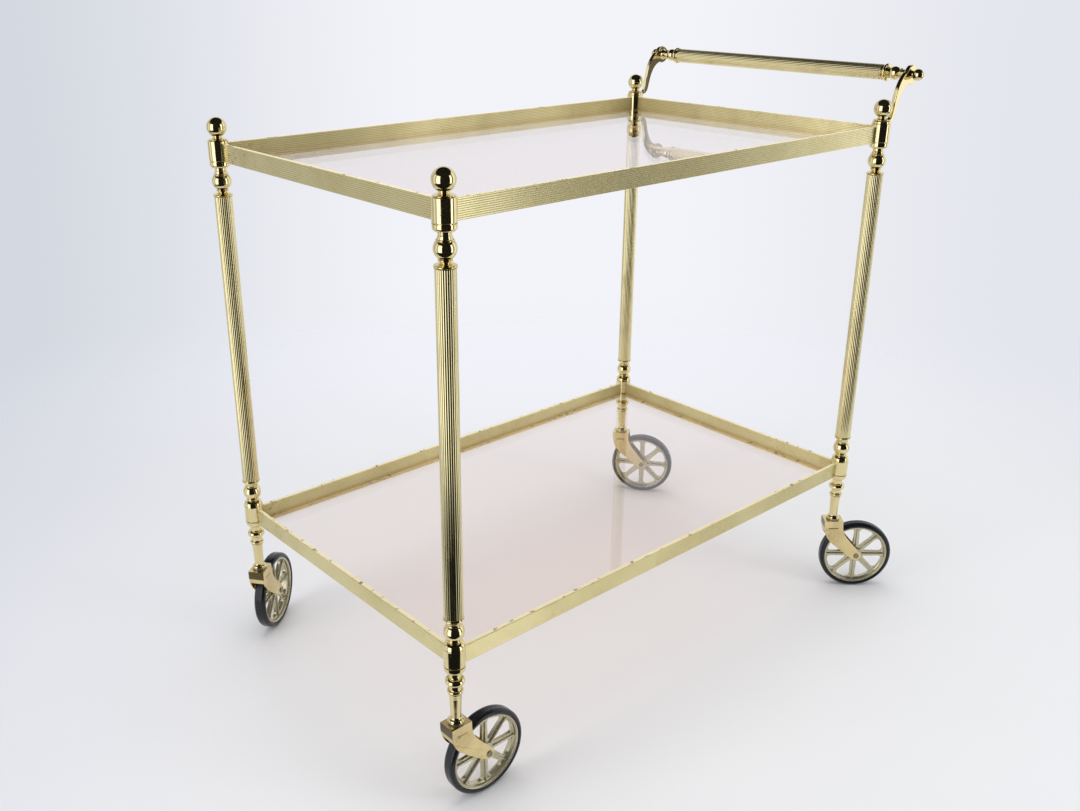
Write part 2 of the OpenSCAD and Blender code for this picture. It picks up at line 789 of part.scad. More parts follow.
// Cast bracket: a foot clamped under the finial, a swept arm and a round eye
module bracket(c) {
    steps = 20;
    xy = corner_xy(c);
    color(brass) translate([xy[0] - mid_x, xy[1] - mid_y, up_post_top_z]) difference() {
        union() {
            cylinder(d = post_d - 1.6, h = bracket_foot_t);
            translate([0, -bracket_w / 2, 0]) cube([13.2, bracket_w, bracket_foot_t]);
            translate([0, bracket_w / 2, 0]) rotate([90, 0, 0]) linear_extrude(bracket_w) {
                polygon(concat([for (i = [0 : steps]) arm_side(i / steps, 1)],
                    [for (i = [steps : -1 : 0]) arm_side(i / steps, -1)]));
                translate([grip_out, grip_rise]) circle(r = bracket_eye_r);
            }
        }
        translate([0, 0, -1]) cylinder(d = rod_d + 2 * rod_clear, h = bracket_foot_t + 2);
        translate([grip_out, bracket_w, grip_rise]) rotate([90, 0, 0])
            cylinder(d = rod_d + 2 * rod_clear, h = 2 * bracket_w);
    }
}

// Small ball nuts that close the handle's ends
module end_balls() {
    color(brass) on_grip_axis() for (s = [0, 1]) mirror([0, 0, s])
        translate([0, 0, half_y + bracket_w / 2]) difference() {
            union() {
                cylinder(d = 9.4, h = 4);
                translate([0, 0, end_ball_gap + end_ball_d / 2]) sphere(d = end_ball_d);
            }
            translate([0, 0, -1]) cylinder(d = rod_d + 2 * rod_clear, h = tenon_h + 1.3);
        }
}

// ---- Nodes ---------------------------------------------------------------

finial("near");  // near_finial
upper_post("near");  // near_post
leg("near");  // near_leg
lower_post("near");  // near_low_post
stem("near");  // near_stem
fork("near");  // near_fork
axle("near");  // near_axle
wheel("near");  // near_wheel
tyre("near");  // near_tyre
finial("left");  // left_finial
upper_post("left");  // left_post
leg("left");  // left_leg
lower_post("left");  // left_low_post
stem("left");  // left_stem
fork("left");  // left_fork
axle("left");  // left_axle
wheel("left");  // left_wheel
tyre("left");  // left_tyre
finial("right");  // right_finial
upper_post("right");  // right_post
leg("right");  // right_leg
lower_post("right");  // right_low_post
stem("right");  // right_stem
fork("right");  // right_fork
axle("right");  // right_axle
wheel("right");  // right_wheel
tyre("right");  // right_tyre
finial("far");  // far_finial
upper_post("far");  // far_post
leg("far");  // far_leg
lower_post("far");  // far_low_post
stem("far");  // far_stem
fork("far");  // far_fork
axle("far");  // far_axle
wheel("far");  // far_wheel
tyre("far");  // far_tyre
upper_turnings();
lower_turnings();
leg_rods();
swivel_races();
long_rail(-1, up_rail_z);  // top_front_rail
long_rail(1, up_rail_z);  // top_back_rail
short_rail(-1, up_rail_z);  // top_left_rail
short_rail(1, up_rail_z);  // top_right_rail
long_rail(-1, low_rail_z);  // low_front_rail
long_rail(1, low_rail_z);  // low_back_rail
short_rail(-1, low_rail_z);  // low_left_rail
short_rail(1, low_rail_z);  // low_right_rail
rail_screws();
glass_pads();
glass(up_rail_z);  // top_glass
glass(low_rail_z);  // low_glass
grip_tube();
grip_collars();
grip_rod();
bracket("right");  // right_bracket
bracket("far");  // far_bracket
end_balls();
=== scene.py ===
"""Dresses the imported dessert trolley: turned and reeded brass, smoked glass and spoked casters.

Sizes are in millimetres and repeat the part's own driving dimensions; a place is in metres, and
comes from the frame.
"""

import json
import logging
import math
from dataclasses import dataclass, replace
from enum import Enum
from typing import Callable, Iterable, Optional, Sequence, Union

import bpy
from mathutils import Matrix, Vector


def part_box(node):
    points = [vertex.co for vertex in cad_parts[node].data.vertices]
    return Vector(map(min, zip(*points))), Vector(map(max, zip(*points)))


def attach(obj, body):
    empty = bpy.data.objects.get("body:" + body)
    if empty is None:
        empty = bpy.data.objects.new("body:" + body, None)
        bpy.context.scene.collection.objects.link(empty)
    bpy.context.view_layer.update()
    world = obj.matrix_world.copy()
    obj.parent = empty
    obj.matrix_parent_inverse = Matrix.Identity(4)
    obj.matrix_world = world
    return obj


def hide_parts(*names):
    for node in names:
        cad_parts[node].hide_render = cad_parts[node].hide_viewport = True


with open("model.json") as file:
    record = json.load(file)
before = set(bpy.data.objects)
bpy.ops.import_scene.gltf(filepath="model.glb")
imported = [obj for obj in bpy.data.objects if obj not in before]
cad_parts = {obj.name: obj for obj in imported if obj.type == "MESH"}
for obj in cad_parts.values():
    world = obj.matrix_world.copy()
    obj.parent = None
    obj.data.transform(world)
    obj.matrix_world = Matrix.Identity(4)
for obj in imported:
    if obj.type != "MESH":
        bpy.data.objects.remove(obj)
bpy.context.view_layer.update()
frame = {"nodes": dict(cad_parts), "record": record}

log = logging.getLogger("trolley")

MM = 0.001
FULL_TURN = 2 * math.pi
Point = tuple[float, float]
Piece = bpy.types.Object
Face = bpy.types.MeshPolygon
Socket = bpy.types.NodeSocket
Material = bpy.types.Material


class Corner(Enum):
    """The four corners, each with the heading of its caster at rest, in degrees."""

    NEAR = ("near", 0.0)
    LEFT = ("left", 38.0)
    RIGHT = ("right", -42.0)
    FAR = ("far", -54.0)

    @property
    def label(self) -> str:
        """The corner's name, as the nodes begin."""
        return self.value[0]

    @property
    def heading(self) -> float:
        """The caster's heading at rest, in radians."""
        return math.radians(self.value[1])

    @property
    def axis(self) -> Vector:
        """The leg's axis on the floor, from the node of its plain post."""
        low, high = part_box(f"{self.label}_post")
        return Vector(((low.x + high.x) / 2, (low.y + high.y) / 2, 0.0))


# ---- Shader maths --------------------------------------------------------

Value = Union[float, "Signal"]


@dataclass(frozen=True)
class Signal:
    """A number socket of a shader, on which arithmetic adds Math nodes."""

    shader: "Shader"
    socket: Socket

    def _math(self, operation: str, *values: Value, clamp: bool = False) -> "Signal":
        """Adds one Math node and returns its result."""
        node = self.shader.add("ShaderNodeMath", {"operation": operation, "use_clamp": clamp},
                               dict(enumerate(values)))
        return Signal(self.shader, node.outputs[0])

    def __add__(self, other: Value) -> "Signal":
        """Returns self + other."""
        return self._math("ADD", self, other)

    def __sub__(self, other: Value) -> "Signal":
        """Returns self - other."""
        return self._math("SUBTRACT", self, other)

    def __mul__(self, other: Value) -> "Signal":
        """Returns self * other."""
        return self._math("MULTIPLY", self, other)

    def __truediv__(self, other: Value) -> "Signal":
        """Returns self / other."""
        return self._math("DIVIDE", self, other)

    def __rsub__(self, other: Value) -> "Signal":
        """Returns other - self."""
        return self._math("SUBTRACT", other, self)

    def __pow__(self, other: Value) -> "Signal":
        """Returns self to the power of other."""
        return self._math("POWER", self, other)

    __radd__, __rmul__ = __add__, __mul__

    def clamped(self) -> "Signal":
        """Returns self held between 0 and 1."""
        return self._math("ADD", self, 0.0, clamp=True)

    def over(self, low: float, high: float) -> "Signal":
        """Returns a soft step that rises from 0 at low to 1 at high."""
        node = self.shader.add("ShaderNodeMapRange", {"interpolation_type": "SMOOTHSTEP"},
                               {"Value": self, "From Min": low, "From Max": high})
        return Signal(self.shader, node.outputs["Result"])


class Shader:
    """One material's node tree, with the few kinds of node that the finishes use."""

    def __init__(self, name: str) -> None:
        """Makes an empty material.

        Args:
            name: The material's name.
        """
        self.material = bpy.data.materials.new(name)
        self.material.use_nodes = True
        self.tree = self.material.node_tree
        self.tree.nodes.clear()
        self._place: dict[str, Socket] = {}

    def add(self, kind: str, settings: Optional[dict] = None,
            inputs: Optional[dict] = None) -> bpy.types.Node:
        """Adds one node.

        Args:
            kind: The node's type.
            settings: Its own settings, set before its sockets.
            inputs: Values or links for its sockets, by name or number.

        Returns:
            The new node.
        """
        node = self.tree.nodes.new(kind)
        for key, value in (settings or {}).items():
            if key == "stops":
                self._fill_ramp(node, value)
            else:
                setattr(node, key, value)
        for key, value in (inputs or {}).items():
            source = getattr(value, "socket", value)
            if isinstance(source, Socket):
                self.tree.links.new(source, node.inputs[key])
            else:
                node.inputs[key].default_value = value
        return node

    @staticmethod
    def _fill_ramp(node: bpy.types.Node, stops: Sequence[tuple]) -> None:
        """Gives a colour ramp its stops.

        Args:
            node: The ramp.
            stops: (place, colour) pairs.
        """
        elements = node.color_ramp.elements
        while len(elements) < len(stops):
            elements.new(0.5)
        for element, (place, colour) in zip(elements, stops):
            element.position = place
            element.color = colour

    def place(self, scale: Sequence[float] = (1.0, 1.0, 1.0)) -> Socket:
        """Returns the surface point in metres, stretched by scale along each axis.

        Args:
            scale: The stretch along X, Y and Z.

        Returns:
            The point, as a vector socket.
        """
        key = str(tuple(scale))
        if key not in self._place:
            point = self.add("ShaderNodeTexCoord").outputs["Object"]
            mapping = self.add("ShaderNodeMapping", {}, {"Vector": point, "Scale": tuple(scale)})
            self._place[key] = mapping.outputs["Vector"]
        return self._place[key]

    def noise(self, scale: float, detail: float = 4.0, rough: float = 0.55,
              stretch: Sequence[float] = (1.0, 1.0, 1.0), warp: float = 0.0) -> Signal:
        """Returns a noise value of about 0.5, with scale in cycles a metre.

        Args:
            scale: How fine it is.
            detail: How many finer layers it has.
            rough: How strong they are.
            stretch: The stretch along X, Y and Z.
            warp: How far it is bent.

        Returns:
            The noise.
        """
        node = self.add("ShaderNodeTexNoise", {}, {
            "Vector": self.place(stretch), "Scale": scale, "Detail": detail, "Roughness": rough,
            "Distortion": warp})
        return Signal(self, node.outputs[0])

    def edges(self) -> Signal:
        """Returns Pointiness, which is above 0.5 on edges and below it in hollows."""
        return Signal(self, self.add("ShaderNodeNewGeometry").outputs["Pointiness"])

    def painted(self, name: str) -> Signal:
        """Returns a value painted on the piece's faces."""
        node = self.add("ShaderNodeAttribute", {"attribute_name": name})
        return Signal(self, node.outputs["Fac"])

    def axes(self, vector: Optional[Socket] = None) -> tuple[Signal, ...]:
        """Returns the X, Y and Z of a vector, or else of the surface point."""
        point = self.place() if vector is None else vector
        split = self.add("ShaderNodeSeparateXYZ", {}, {0: point})
        return tuple(Signal(self, split.outputs[axis]) for axis in range(3))

    def mix(self, mask: Value, low: object, high: object) -> Socket:
        """Returns a colour that goes from low to high as mask goes from 0 to 1."""
        node = self.add("ShaderNodeMix", {"data_type": "RGBA"}, {0: mask, 6: low, 7: high})
        return node.outputs[2]

    def bump(self, height: Signal, depth: float, strength: float = 1.0) -> Socket:
        """Returns a normal that height pushes out by up to depth metres."""
        node = self.add("ShaderNodeBump", {}, {
            "Height": height, "Distance": depth, "Strength": strength})
        return node.outputs[0]

    def finish(self, surface: Socket) -> Material:
        """Joins a surface to the output and returns the material."""
        self.add("ShaderNodeOutputMaterial", {}, {"Surface": surface})
        return self.material

    def principled(self, **inputs: object) -> Socket:
        """Adds a Principled shader, with underscores for the spaces in its sockets' names."""
        named = {key.replace("_", " "): value for key, value in inputs.items()}
        return self.add("ShaderNodeBsdfPrincipled", {}, named).outputs[0]

    def coat(self, base: Socket, metal: Value, rough: Signal,
             normal: Socket, **more: object) -> Material:
        """Returns the material of an opaque surface.

        Args:
            base: Its colour.
            metal: How metallic it is.
            rough: Its roughness, still unclamped.
            normal: Its bumped normal.
            more: Other sockets of the Principled shader.

        Returns:
            The finished material.
        """
        return self.finish(self.principled(Base_Color=base, Metallic=metal,
                                           Roughness=rough.clamped(), Normal=normal, **more))


Colour = tuple[float, float, float, float]


def tint(red: float, green: float, blue: float) -> Colour:
    """Returns a linear colour with full alpha."""
    return (red, green, blue, 1.0)


# ---- Finishes ------------------------------------------------------------


@dataclass(frozen=True)
class BrassFinish:
    """Brass with a polish, smears, dulled patches, small dark spots and painted shade in hollows.
    """

    name: str
    bright: Colour
    dull: Colour
    spot: Colour
    rough: float
    rough_worn: float
    patch_from: float
    patch_to: float
    spot_size: float
    bump_depth: float
    brush: Sequence[float] = (1.0, 1.0, 1.0)
    grime: float = 0.25
    streaks: float = 0.1
    dusk: float = 0.0

    def material(self) -> Material:
        """Builds the material.

        Returns:
            Metal whose tarnish, smears and spots follow the surface.
        """
        sh = Shader(self.name)
        patches = sh.noise(19.0, 4.0, 0.55, warp=0.4).over(self.patch_from, self.patch_to)
        smears = sh.noise(150.0, 5.0, 0.62, self.brush).over(0.35, 0.70)
        specks = sh.noise(420.0, 4.0, 0.75, warp=0.6).over(0.66 - self.spot_size * 0.1, 0.72)
        sparse = sh.noise(38.0, 2.0).over(0.50, 0.62)
        spots = (specks * sparse).clamped()
        # Painted shade: hollows and reed valleys, found by pointiness, darken towards the spot
        # colour.
        hollow = (1.0 - sh.edges().over(0.40, 0.495)) * self.grime
        dulled_and_shaded = (patches * 0.5 + smears * self.streaks + hollow * 0.5).clamped()
        metal = sh.mix(hollow.clamped(), sh.mix(dulled_and_shaded, self.bright, self.dull), self.spot)
        base = sh.mix(spots, metal, self.spot)
        # Painted shade: the marked faces of the fork's front wall are darkened to near black.
        if self.dusk:
            shaded_front = sh.painted("dusk") * self.dusk
            base = sh.mix(shaded_front, base, tint(0.05, 0.038, 0.016))
        grain = sh.noise(1400.0, 3.0, 0.5, self.brush)
        rough = self.rough + smears * 0.05 + dulled_and_shaded * (self.rough_worn - self.rough) + spots * 0.25
        wave = sh.noise(140.0, 2.0, 0.4)
        height = grain * 0.3 + wave - spots * 0.6
        return sh.coat(base, 1.0, rough, sh.bump(height, self.bump_depth, 0.5))


@dataclass(frozen=True)
class RailFinish:
    """Aged satin brass of the rails: brown stains, chips on the top edges, painted shade in the
    grooves and a painted highlight on the top faces.
    """

    name: str
    bright: Colour
    dull: Colour
    stain: Colour
    rough: float
    relief: float = 0.00003

    def material(self) -> Material:
        """Builds the material.

        Returns:
            Brushed metal whose brown stains gather along the rail.
        """
        sh = Shader(self.name)
        tone = sh.noise(9.0, 5.0, 0.6, warp=0.5).over(0.38, 0.66)
        mottle = sh.noise(120.0, 6.0, 0.66).over(0.42, 0.7)
        flecks = sh.noise(520.0, 3.0, 0.6, (1.0, 1.0, 1.4)).over(0.60, 0.70)
        where = sh.noise(11.0, 4.0, 0.65).over(0.52, 0.66)
        crest = sh.painted("crest")
        chips = sh.noise(130.0, 3.0, 0.6).over(0.58, 0.62) * crest
        left = self.left_end(sh) * sh.noise(190.0, 3.0, 0.6, warp=0.5).over(0.56, 0.64)
        few = sh.noise(23.0, 2.0).over(0.42, 0.56)
        stain = (flecks * where + left * 0.6 + chips * few).clamped()
        # Real stains, and painted shade in the grooves away from the top faces.
        stains_and_groove_shade = (stain * 0.85 + self.lines(sh) * (1.0 - crest) * 0.42).clamped()
        brass = sh.mix((tone * 0.75 + mottle * 0.25).clamped(), self.bright, self.dull)
        # Painted highlight: the top faces are mixed towards a pale cream.
        base = sh.mix(stains_and_groove_shade, sh.mix(crest * 0.6, brass, tint(0.96, 0.85, 0.57)), self.stain)
        satin = sh.painted("satin")
        rough = self.rough + mottle * 0.03 + tone * 0.04 + stains_and_groove_shade * 0.2 + (satin + crest) * 0.22
        height = sh.noise(700.0, 2.0, 0.5) * 0.15 - stain * 0.85
        metal = 0.86 - satin * 0.36 - crest * 0.5
        return sh.coat(base, metal, rough, sh.bump(height, self.relief, 0.4))

    @staticmethod
    def left_end(sh: Shader) -> Signal:
        """Returns 1 at the trolley's left rear corner, falling to 0 along its end rail."""
        x, y, _ = sh.axes()
        return (0.0 - x).over(0.31, 0.35) * y.over(0.04, 0.24)

    @staticmethod
    def lines(sh: Shader) -> Signal:
        """Returns 1 in the rails' grooves, where shade is painted, and 0 on their crowns.

        Args:
            sh: The shader that the value is for.

        Returns:
            How much painted shade the place gets.
        """
        z = sh.axes()[2]
        low, top = (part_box(f"{level}_front_rail")[0].z for level in ("low", "top"))
        step = Tray("top").pitch * MM
        raised = z.over((low + top) / 2, (low + top) / 2 + step) * (top - low)
        wave = z._math("PINGPONG", z - raised - low, step / 2)
        return 1.0 - wave.over(step * 0.04, step * 0.34)


@dataclass(frozen=True)
class GlassFinish:
    """Clear float glass with a light smoked tint, dust and wiping streaks."""

    name: str
    through: Colour
    index: float = 1.5

    def material(self) -> Material:
        """Builds the material.

        Returns:
            A tinted see-through sheet under a clean mirror reflection.
        """
        sh = Shader(self.name)
        streaks = sh.noise(14.0, 5.0, 0.6, (1.0, 5.0, 1.0), 0.6).over(0.45, 0.8)
        dust = sh.noise(700.0, 2.0, 0.6).over(0.6, 0.9)
        clear = sh.add("ShaderNodeBsdfTransparent", {}, {"Color": self.through})
        smear = sh.bump(sh.noise(3.5, 2.0, 0.5), 0.00002, 0.2)
        gloss = sh.principled(Base_Color=tint(1.0, 1.0, 1.0), Metallic=1.0,
                              Roughness=(0.012 + streaks * 0.02).clamped(), Normal=smear)
        facing = Signal(sh, sh.add("ShaderNodeLayerWeight", {}, {"Blend": 0.5}).outputs["Facing"])
        straight = ((self.index - 1) / (self.index + 1)) ** 2
        fresnel = straight + (1 - straight) * facing ** 5.0
        share = (fresnel + dust * 0.006 + streaks * 0.004).clamped()
        mixed = sh.add("ShaderNodeMixShader", {}, {0: share, 1: clear.outputs[0], 2: gloss})
        return sh.finish(mixed.outputs[0])


@dataclass(frozen=True)
class RubberFinish:
    """Smooth black rubber with scuffs on the tread."""

    name: str
    body: Colour
    scuff: Colour
    rough: float
    relief: float = 0.00008

    def material(self) -> Material:
        """Builds the material.

        Returns:
            Dark rubber with dull scuffs and a very fine grain.
        """
        sh = Shader(self.name)
        scuffs = sh.noise(160.0, 6.0, 0.7, warp=0.8).over(0.55, 0.75)
        cloud = sh.noise(30.0, 4.0, 0.6).over(0.35, 0.7)
        base = sh.mix((scuffs * 0.5 + cloud * 0.25).clamped(), self.body, self.scuff)
        rough = self.rough + scuffs * 0.18 + cloud * 0.08
        height = sh.noise(1800.0, 3.0, 0.6) * 0.5 - scuffs * 0.3
        normal = sh.bump(height, self.relief, 0.5)
        return sh.coat(base, 0.0, rough, normal, Specular_IOR_Level=0.4)


@dataclass(frozen=True)
class CastFinish:
    """Lacquered cast metal of the wheel centres, dirty in its hollows."""

    name: str
    bright: Colour
    dirt: Colour
    rough: float
    metal: float
    relief: float = 0.00002

    def material(self) -> Material:
        """Builds the material.

        Returns:
            Satin metal with dirt in the hollows and rubbed edges.
        """
        sh = Shader(self.name)
        edge = sh.edges()
        hollow = 1.0 - edge.over(0.44, 0.5)
        rubbed = edge.over(0.52, 0.58)
        cloud = sh.noise(55.0, 5.0, 0.62).over(0.4, 0.7)
        dirt = (hollow * 0.45 + cloud * 0.08).clamped()
        tone = sh.mix(dirt, self.bright, self.dirt)
        base = sh.mix((rubbed * 0.35).clamped(), tone, tint(0.80, 0.76, 0.60))
        rough = self.rough + cloud * 0.1 + hollow * 0.12
        height = sh.noise(1100.0, 4.0, 0.6) * 0.5 + sh.noise(240.0, 3.0, 0.5)
        return sh.coat(base, self.metal, rough, sh.bump(height, self.relief, 0.3))


POLISHED = BrassFinish("polished_brass", tint(0.80, 0.69, 0.37), tint(0.66, 0.56, 0.30),
                       tint(0.20, 0.15, 0.06), 0.05, 0.16, 0.56, 0.72, 0.12, 0.000012)
REEDED = BrassFinish("reeded_brass", tint(0.78, 0.69, 0.38), tint(0.64, 0.56, 0.30),
                     tint(0.12, 0.10, 0.045), 0.06, 0.17, 0.46, 0.66, 0.10, 0.000004,
                     (1.0, 1.0, 0.03), 0.5, 0.45)
GRIP = replace(REEDED, name="grip_brass", brush=(1.0, 0.03, 1.0), grime=0.2)
PRESSED = BrassFinish("pressed_brass", tint(0.82, 0.67, 0.34), tint(0.54, 0.42, 0.21),
                      tint(0.24, 0.15, 0.06), 0.13, 0.28, 0.40, 0.62, 1.1, 0.00002,
                      (1.0, 1.0, 1.0), 0.5, 0.15, 0.9)
RAIL = RailFinish("rail_brass", tint(0.84, 0.75, 0.40), tint(0.70, 0.61, 0.30),
                  tint(0.17, 0.13, 0.06), 0.15)
SMOKED = GlassFinish("smoked_glass", tint(0.98, 0.943, 0.925))
TYRE = RubberFinish("tyre_rubber", tint(0.006, 0.007, 0.009), tint(0.022, 0.024, 0.028), 0.20)
CAST = CastFinish("wheel_cast", tint(0.57, 0.53, 0.37), tint(0.24, 0.22, 0.13), 0.22, 0.85)
STEEL = CastFinish("dull_steel", tint(0.30, 0.27, 0.20), tint(0.10, 0.09, 0.07), 0.35, 0.9)
ROD = CastFinish("bright_steel", tint(0.60, 0.60, 0.58), tint(0.30, 0.30, 0.29), 0.28, 1.0)
PAD = RubberFinish("clear_pad", tint(0.55, 0.55, 0.53), tint(0.65, 0.65, 0.62), 0.35)

FINISHES = {"polished_brass": POLISHED, "reeded_brass": REEDED, "satin_brass": PRESSED,
            "rail_brass": RAIL, "smoked_glass": SMOKED, "tyre_rubber": TYRE, "wheel_alloy": CAST,
            "rivet_steel": STEEL, "rod_steel": ROD, "clear_pad": PAD}


class Palette:
    """Builds each finish once and puts it on pieces."""

    def __init__(self) -> None:
        """Builds every material, by the record's slot."""
        self.materials = {slot: finish.material() for slot, finish in FINISHES.items()}

    def dress(self, piece: Piece, slot: str, body: str, nodes: Iterable[str] = ()) -> Piece:
        """Finishes a new piece and hangs it on its body.

        Args:
            piece: The new piece.
            slot: The record's material slot.
            body: The body that it rides on.
            nodes: The nodes that it stands for.

        Returns:
            The piece.
        """
        piece.data.materials.clear()
        piece.data.materials.append(self.materials[slot])
        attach(piece, body)
        if nodes:
            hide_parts(*nodes)
        log.info("%s rides on %s: %d faces", piece.name, body, len(piece.data.polygons))
        return piece

    def dress_nodes(self) -> None:
        """Gives every CAD node that still shows its finish from the record."""
        for row in frame["record"]["subparts"]:
            node = frame["nodes"][row["node"]]
            if not node.hide_render:
                node.data.materials.clear()
                node.data.materials.append(self.materials[row["material_slot"]])
                log.info("%s keeps its CAD shape", node.name)


# ---- The bench: operators that every piece is made with -------------------


class Bench:
    """Starts, shapes and finishes meshes with Blender's own operators, in millimetres."""

    core = 1e-5
    tiny = 1e-4

    @staticmethod
    def mode(kind: str) -> None:
        """Switches the active piece to EDIT or OBJECT mode."""
        bpy.ops.object.mode_set(mode=kind)

    @staticmethod
    def every() -> None:
        """Selects the whole mesh in edit mode."""
        bpy.ops.mesh.select_all(action="SELECT")

    @classmethod
    def clear(cls) -> None:
        """Leaves edit mode and deselects everything."""
        if bpy.context.object and bpy.context.object.mode != "OBJECT":
            cls.mode("OBJECT")
        bpy.ops.object.select_all(action="DESELECT")

    @classmethod
    def take(cls, piece: Piece) -> Piece:
        """Makes one piece the only selected and active one.

        Args:
            piece: The piece.

        Returns:
            The piece.
        """
        cls.clear()
        piece.select_set(True)
        bpy.context.view_layer.objects.active = piece
        return piece

    @staticmethod
    def named(piece: Piece, name: str) -> Piece:
        """Names a piece and its mesh."""
        piece.name = name
        piece.data.name = name
        return piece

    @classmethod
    def start(cls, name: str) -> Piece:
        """Names the primitive that was just added, and bakes its place into its mesh."""
        piece = cls.named(bpy.context.object, name)
        bpy.ops.object.transform_apply(location=True, rotation=True, scale=True)
        return piece

    @classmethod
    def move(cls, piece: Piece, place: Matrix) -> Piece:
        """Moves a piece's mesh, and leaves the piece itself at the origin.

        Args:
            piece: The piece.
            place: The move, in metres.

        Returns:
            The piece.
        """
        cls.take(piece)
        piece.matrix_world = place
        bpy.ops.object.transform_apply(location=True, rotation=True, scale=True)
        return piece

    @classmethod
    def edit(cls, kind: str = "VERT") -> None:
        """Enters edit mode with everything deselected."""
        cls.mode("EDIT")
        bpy.ops.mesh.select_mode(type=kind)
        bpy.ops.mesh.select_all(action="DESELECT")

    @classmethod
    def pick(cls, piece: Piece, test: Callable[[object], bool], kind: str) -> None:
        """Selects faces, edges or vertices by a test of their place.

        Args:
            piece: The piece in edit mode.
            test: Says whether an element is wanted.
            kind: faces, edges or verts.
        """
        cls.mode("OBJECT")
        mesh = piece.data
        layers = {"faces": mesh.polygons, "edges": mesh.edges, "verts": mesh.vertices}
        for layer in layers.values():
            layer.foreach_set("select", [False] * len(layer))
        for item in layers[kind]:
            if test(item):
                item.select = True
        cls.mode("EDIT")

    @staticmethod
    def extrude(x: float, y: float, z: float) -> None:
        """Extrudes the selection by one step."""
        bpy.ops.mesh.extrude_region_move(TRANSFORM_OT_translate={"value": (x * MM, y * MM, z * MM)})

    @staticmethod
    def resize(x: float, y: float, level: float) -> None:
        """Resizes the selection about the point of the Z axis at a level."""
        bpy.ops.transform.resize(value=(x, y, 1), center_override=(0, 0, level * MM))

    @classmethod
    def cap(cls, piece: Piece, count: int) -> None:
        """Fills the ring of a piece's first vertices."""
        cls.pick(piece, lambda v: v.index < count, "verts")
        bpy.ops.mesh.select_mode(type="VERT")
        bpy.ops.mesh.edge_face_add()

    @classmethod
    def close(cls, piece: Piece, smooth_deg: float = 35.0, merge: float = 1e-6) -> Piece:
        """Merges doubles, turns faces outwards, and shades smooth up to an angle.

        Args:
            piece: The piece.
            smooth_deg: The angle up to which edges shade smooth.
            merge: The distance of doubles, in metres.

        Returns:
            The piece.
        """
        if piece.mode != "EDIT":
            cls.take(piece)
            cls.mode("EDIT")
        cls.every()
        bpy.ops.mesh.remove_doubles(threshold=merge)
        bpy.ops.mesh.normals_make_consistent(inside=False)
        cls.mode("OBJECT")
        bpy.ops.object.shade_smooth_by_angle(angle=math.radians(smooth_deg))
        return piece

    @staticmethod
    def paint(piece: Piece, name: str, test: Callable[[Face], bool]) -> Piece:
        """Paints the faces that pass a test with 1 and the others with 0.

        Args:
            piece: The piece.
            name: The name that the finish reads the value by.
            test: Says whether a face is painted.

        Returns:
            The piece.
        """
        layer = piece.data.attributes.new(name, "FLOAT", "FACE")
        for face in piece.data.polygons:
            layer.data[face.index].value = float(test(face))
        return piece

    @classmethod
    def modify(cls, piece: Piece, kind: str, **settings: object) -> Piece:
        """Adds one modifier and applies it.

        Args:
            piece: The piece.
            kind: The modifier's type.
            settings: Its settings, by name.

        Returns:
            The piece.
        """
        cls.take(piece)
        modifier = piece.modifiers.new(kind.title(), kind)
        for key, value in settings.items():
            setattr(modifier, key, value)
        bpy.ops.object.modifier_apply(modifier=modifier.name)
        return piece

    @classmethod
    def ease(cls, piece: Piece, width: float, segments: int, angle: float) -> Piece:
        """Rounds the edges that are sharper than an angle in degrees."""
        return cls.modify(piece, "BEVEL", width=width * MM, segments=segments,
                          limit_method="ANGLE", angle_limit=math.radians(angle))

    @classmethod
    def copy(cls, piece: Piece, name: str, place: Matrix) -> Piece:
        """Copies a piece with a mesh of its own and moves the copy's mesh.

        Args:
            piece: The piece to copy.
            name: The copy's name.
            place: The move from the first place to the new one.

        Returns:
            The copy.
        """
        cls.take(piece)
        bpy.ops.object.duplicate(linked=False)
        return cls.move(cls.named(bpy.context.object, name), place)

    @classmethod
    def drop(cls, *pieces: Piece) -> None:
        """Deletes patterns that were only copied from.

        Args:
            pieces: The patterns.
        """
        cls.clear()
        for piece in pieces:
            piece.select_set(True)
        bpy.ops.object.delete()

    @classmethod
    def spin(cls, pattern: Piece, count: int) -> list[Piece]:
        """Sets copies of a pattern evenly about Z, and deletes the pattern.

        Args:
            pattern: The piece to copy.
            count: How many copies are set.

        Returns:
            The copies.
        """
        twins = [cls.copy(pattern, f"{pattern.name}_{i}",
                          Matrix.Rotation(i * FULL_TURN / count, 4, "Z")) for i in range(count)]
        cls.drop(pattern)
        return twins

    @classmethod
    def join(cls, pieces: Sequence[Piece], name: str) -> Piece:
        """Joins pieces into the first and names it.

        Args:
            pieces: The pieces.
            name: The joined piece's name.

        Returns:
            The joined piece.
        """
        cls.take(pieces[0])
        for piece in pieces[1:]:
            piece.select_set(True)
        bpy.ops.object.join()
        return cls.named(pieces[0], name)

    @classmethod
    def cut(cls, piece: Piece, tool: Piece) -> Piece:
        """Cuts a tool's solid out of a piece and deletes the tool."""
        cls.modify(piece, "BOOLEAN", operation="DIFFERENCE", solver="EXACT", object=tool)
        cls.drop(tool)
        return piece

    @classmethod
    def circle(cls, name: str, steps: int, radius: float, level: float) -> Piece:
        """Starts a piece as one open ring about Z, all selected in edit mode.

        Args:
            name: The piece's name.
            steps: How many sides the ring has.
            radius: Its radius.
            level: Its height.

        Returns:
            The piece.
        """
        cls.clear()
        bpy.ops.mesh.primitive_circle_add(vertices=steps, radius=radius * MM, fill_type="NOTHING",
                                          location=(0, 0, level * MM))
        piece = cls.start(name)
        cls.edit()
        cls.every()
        return piece

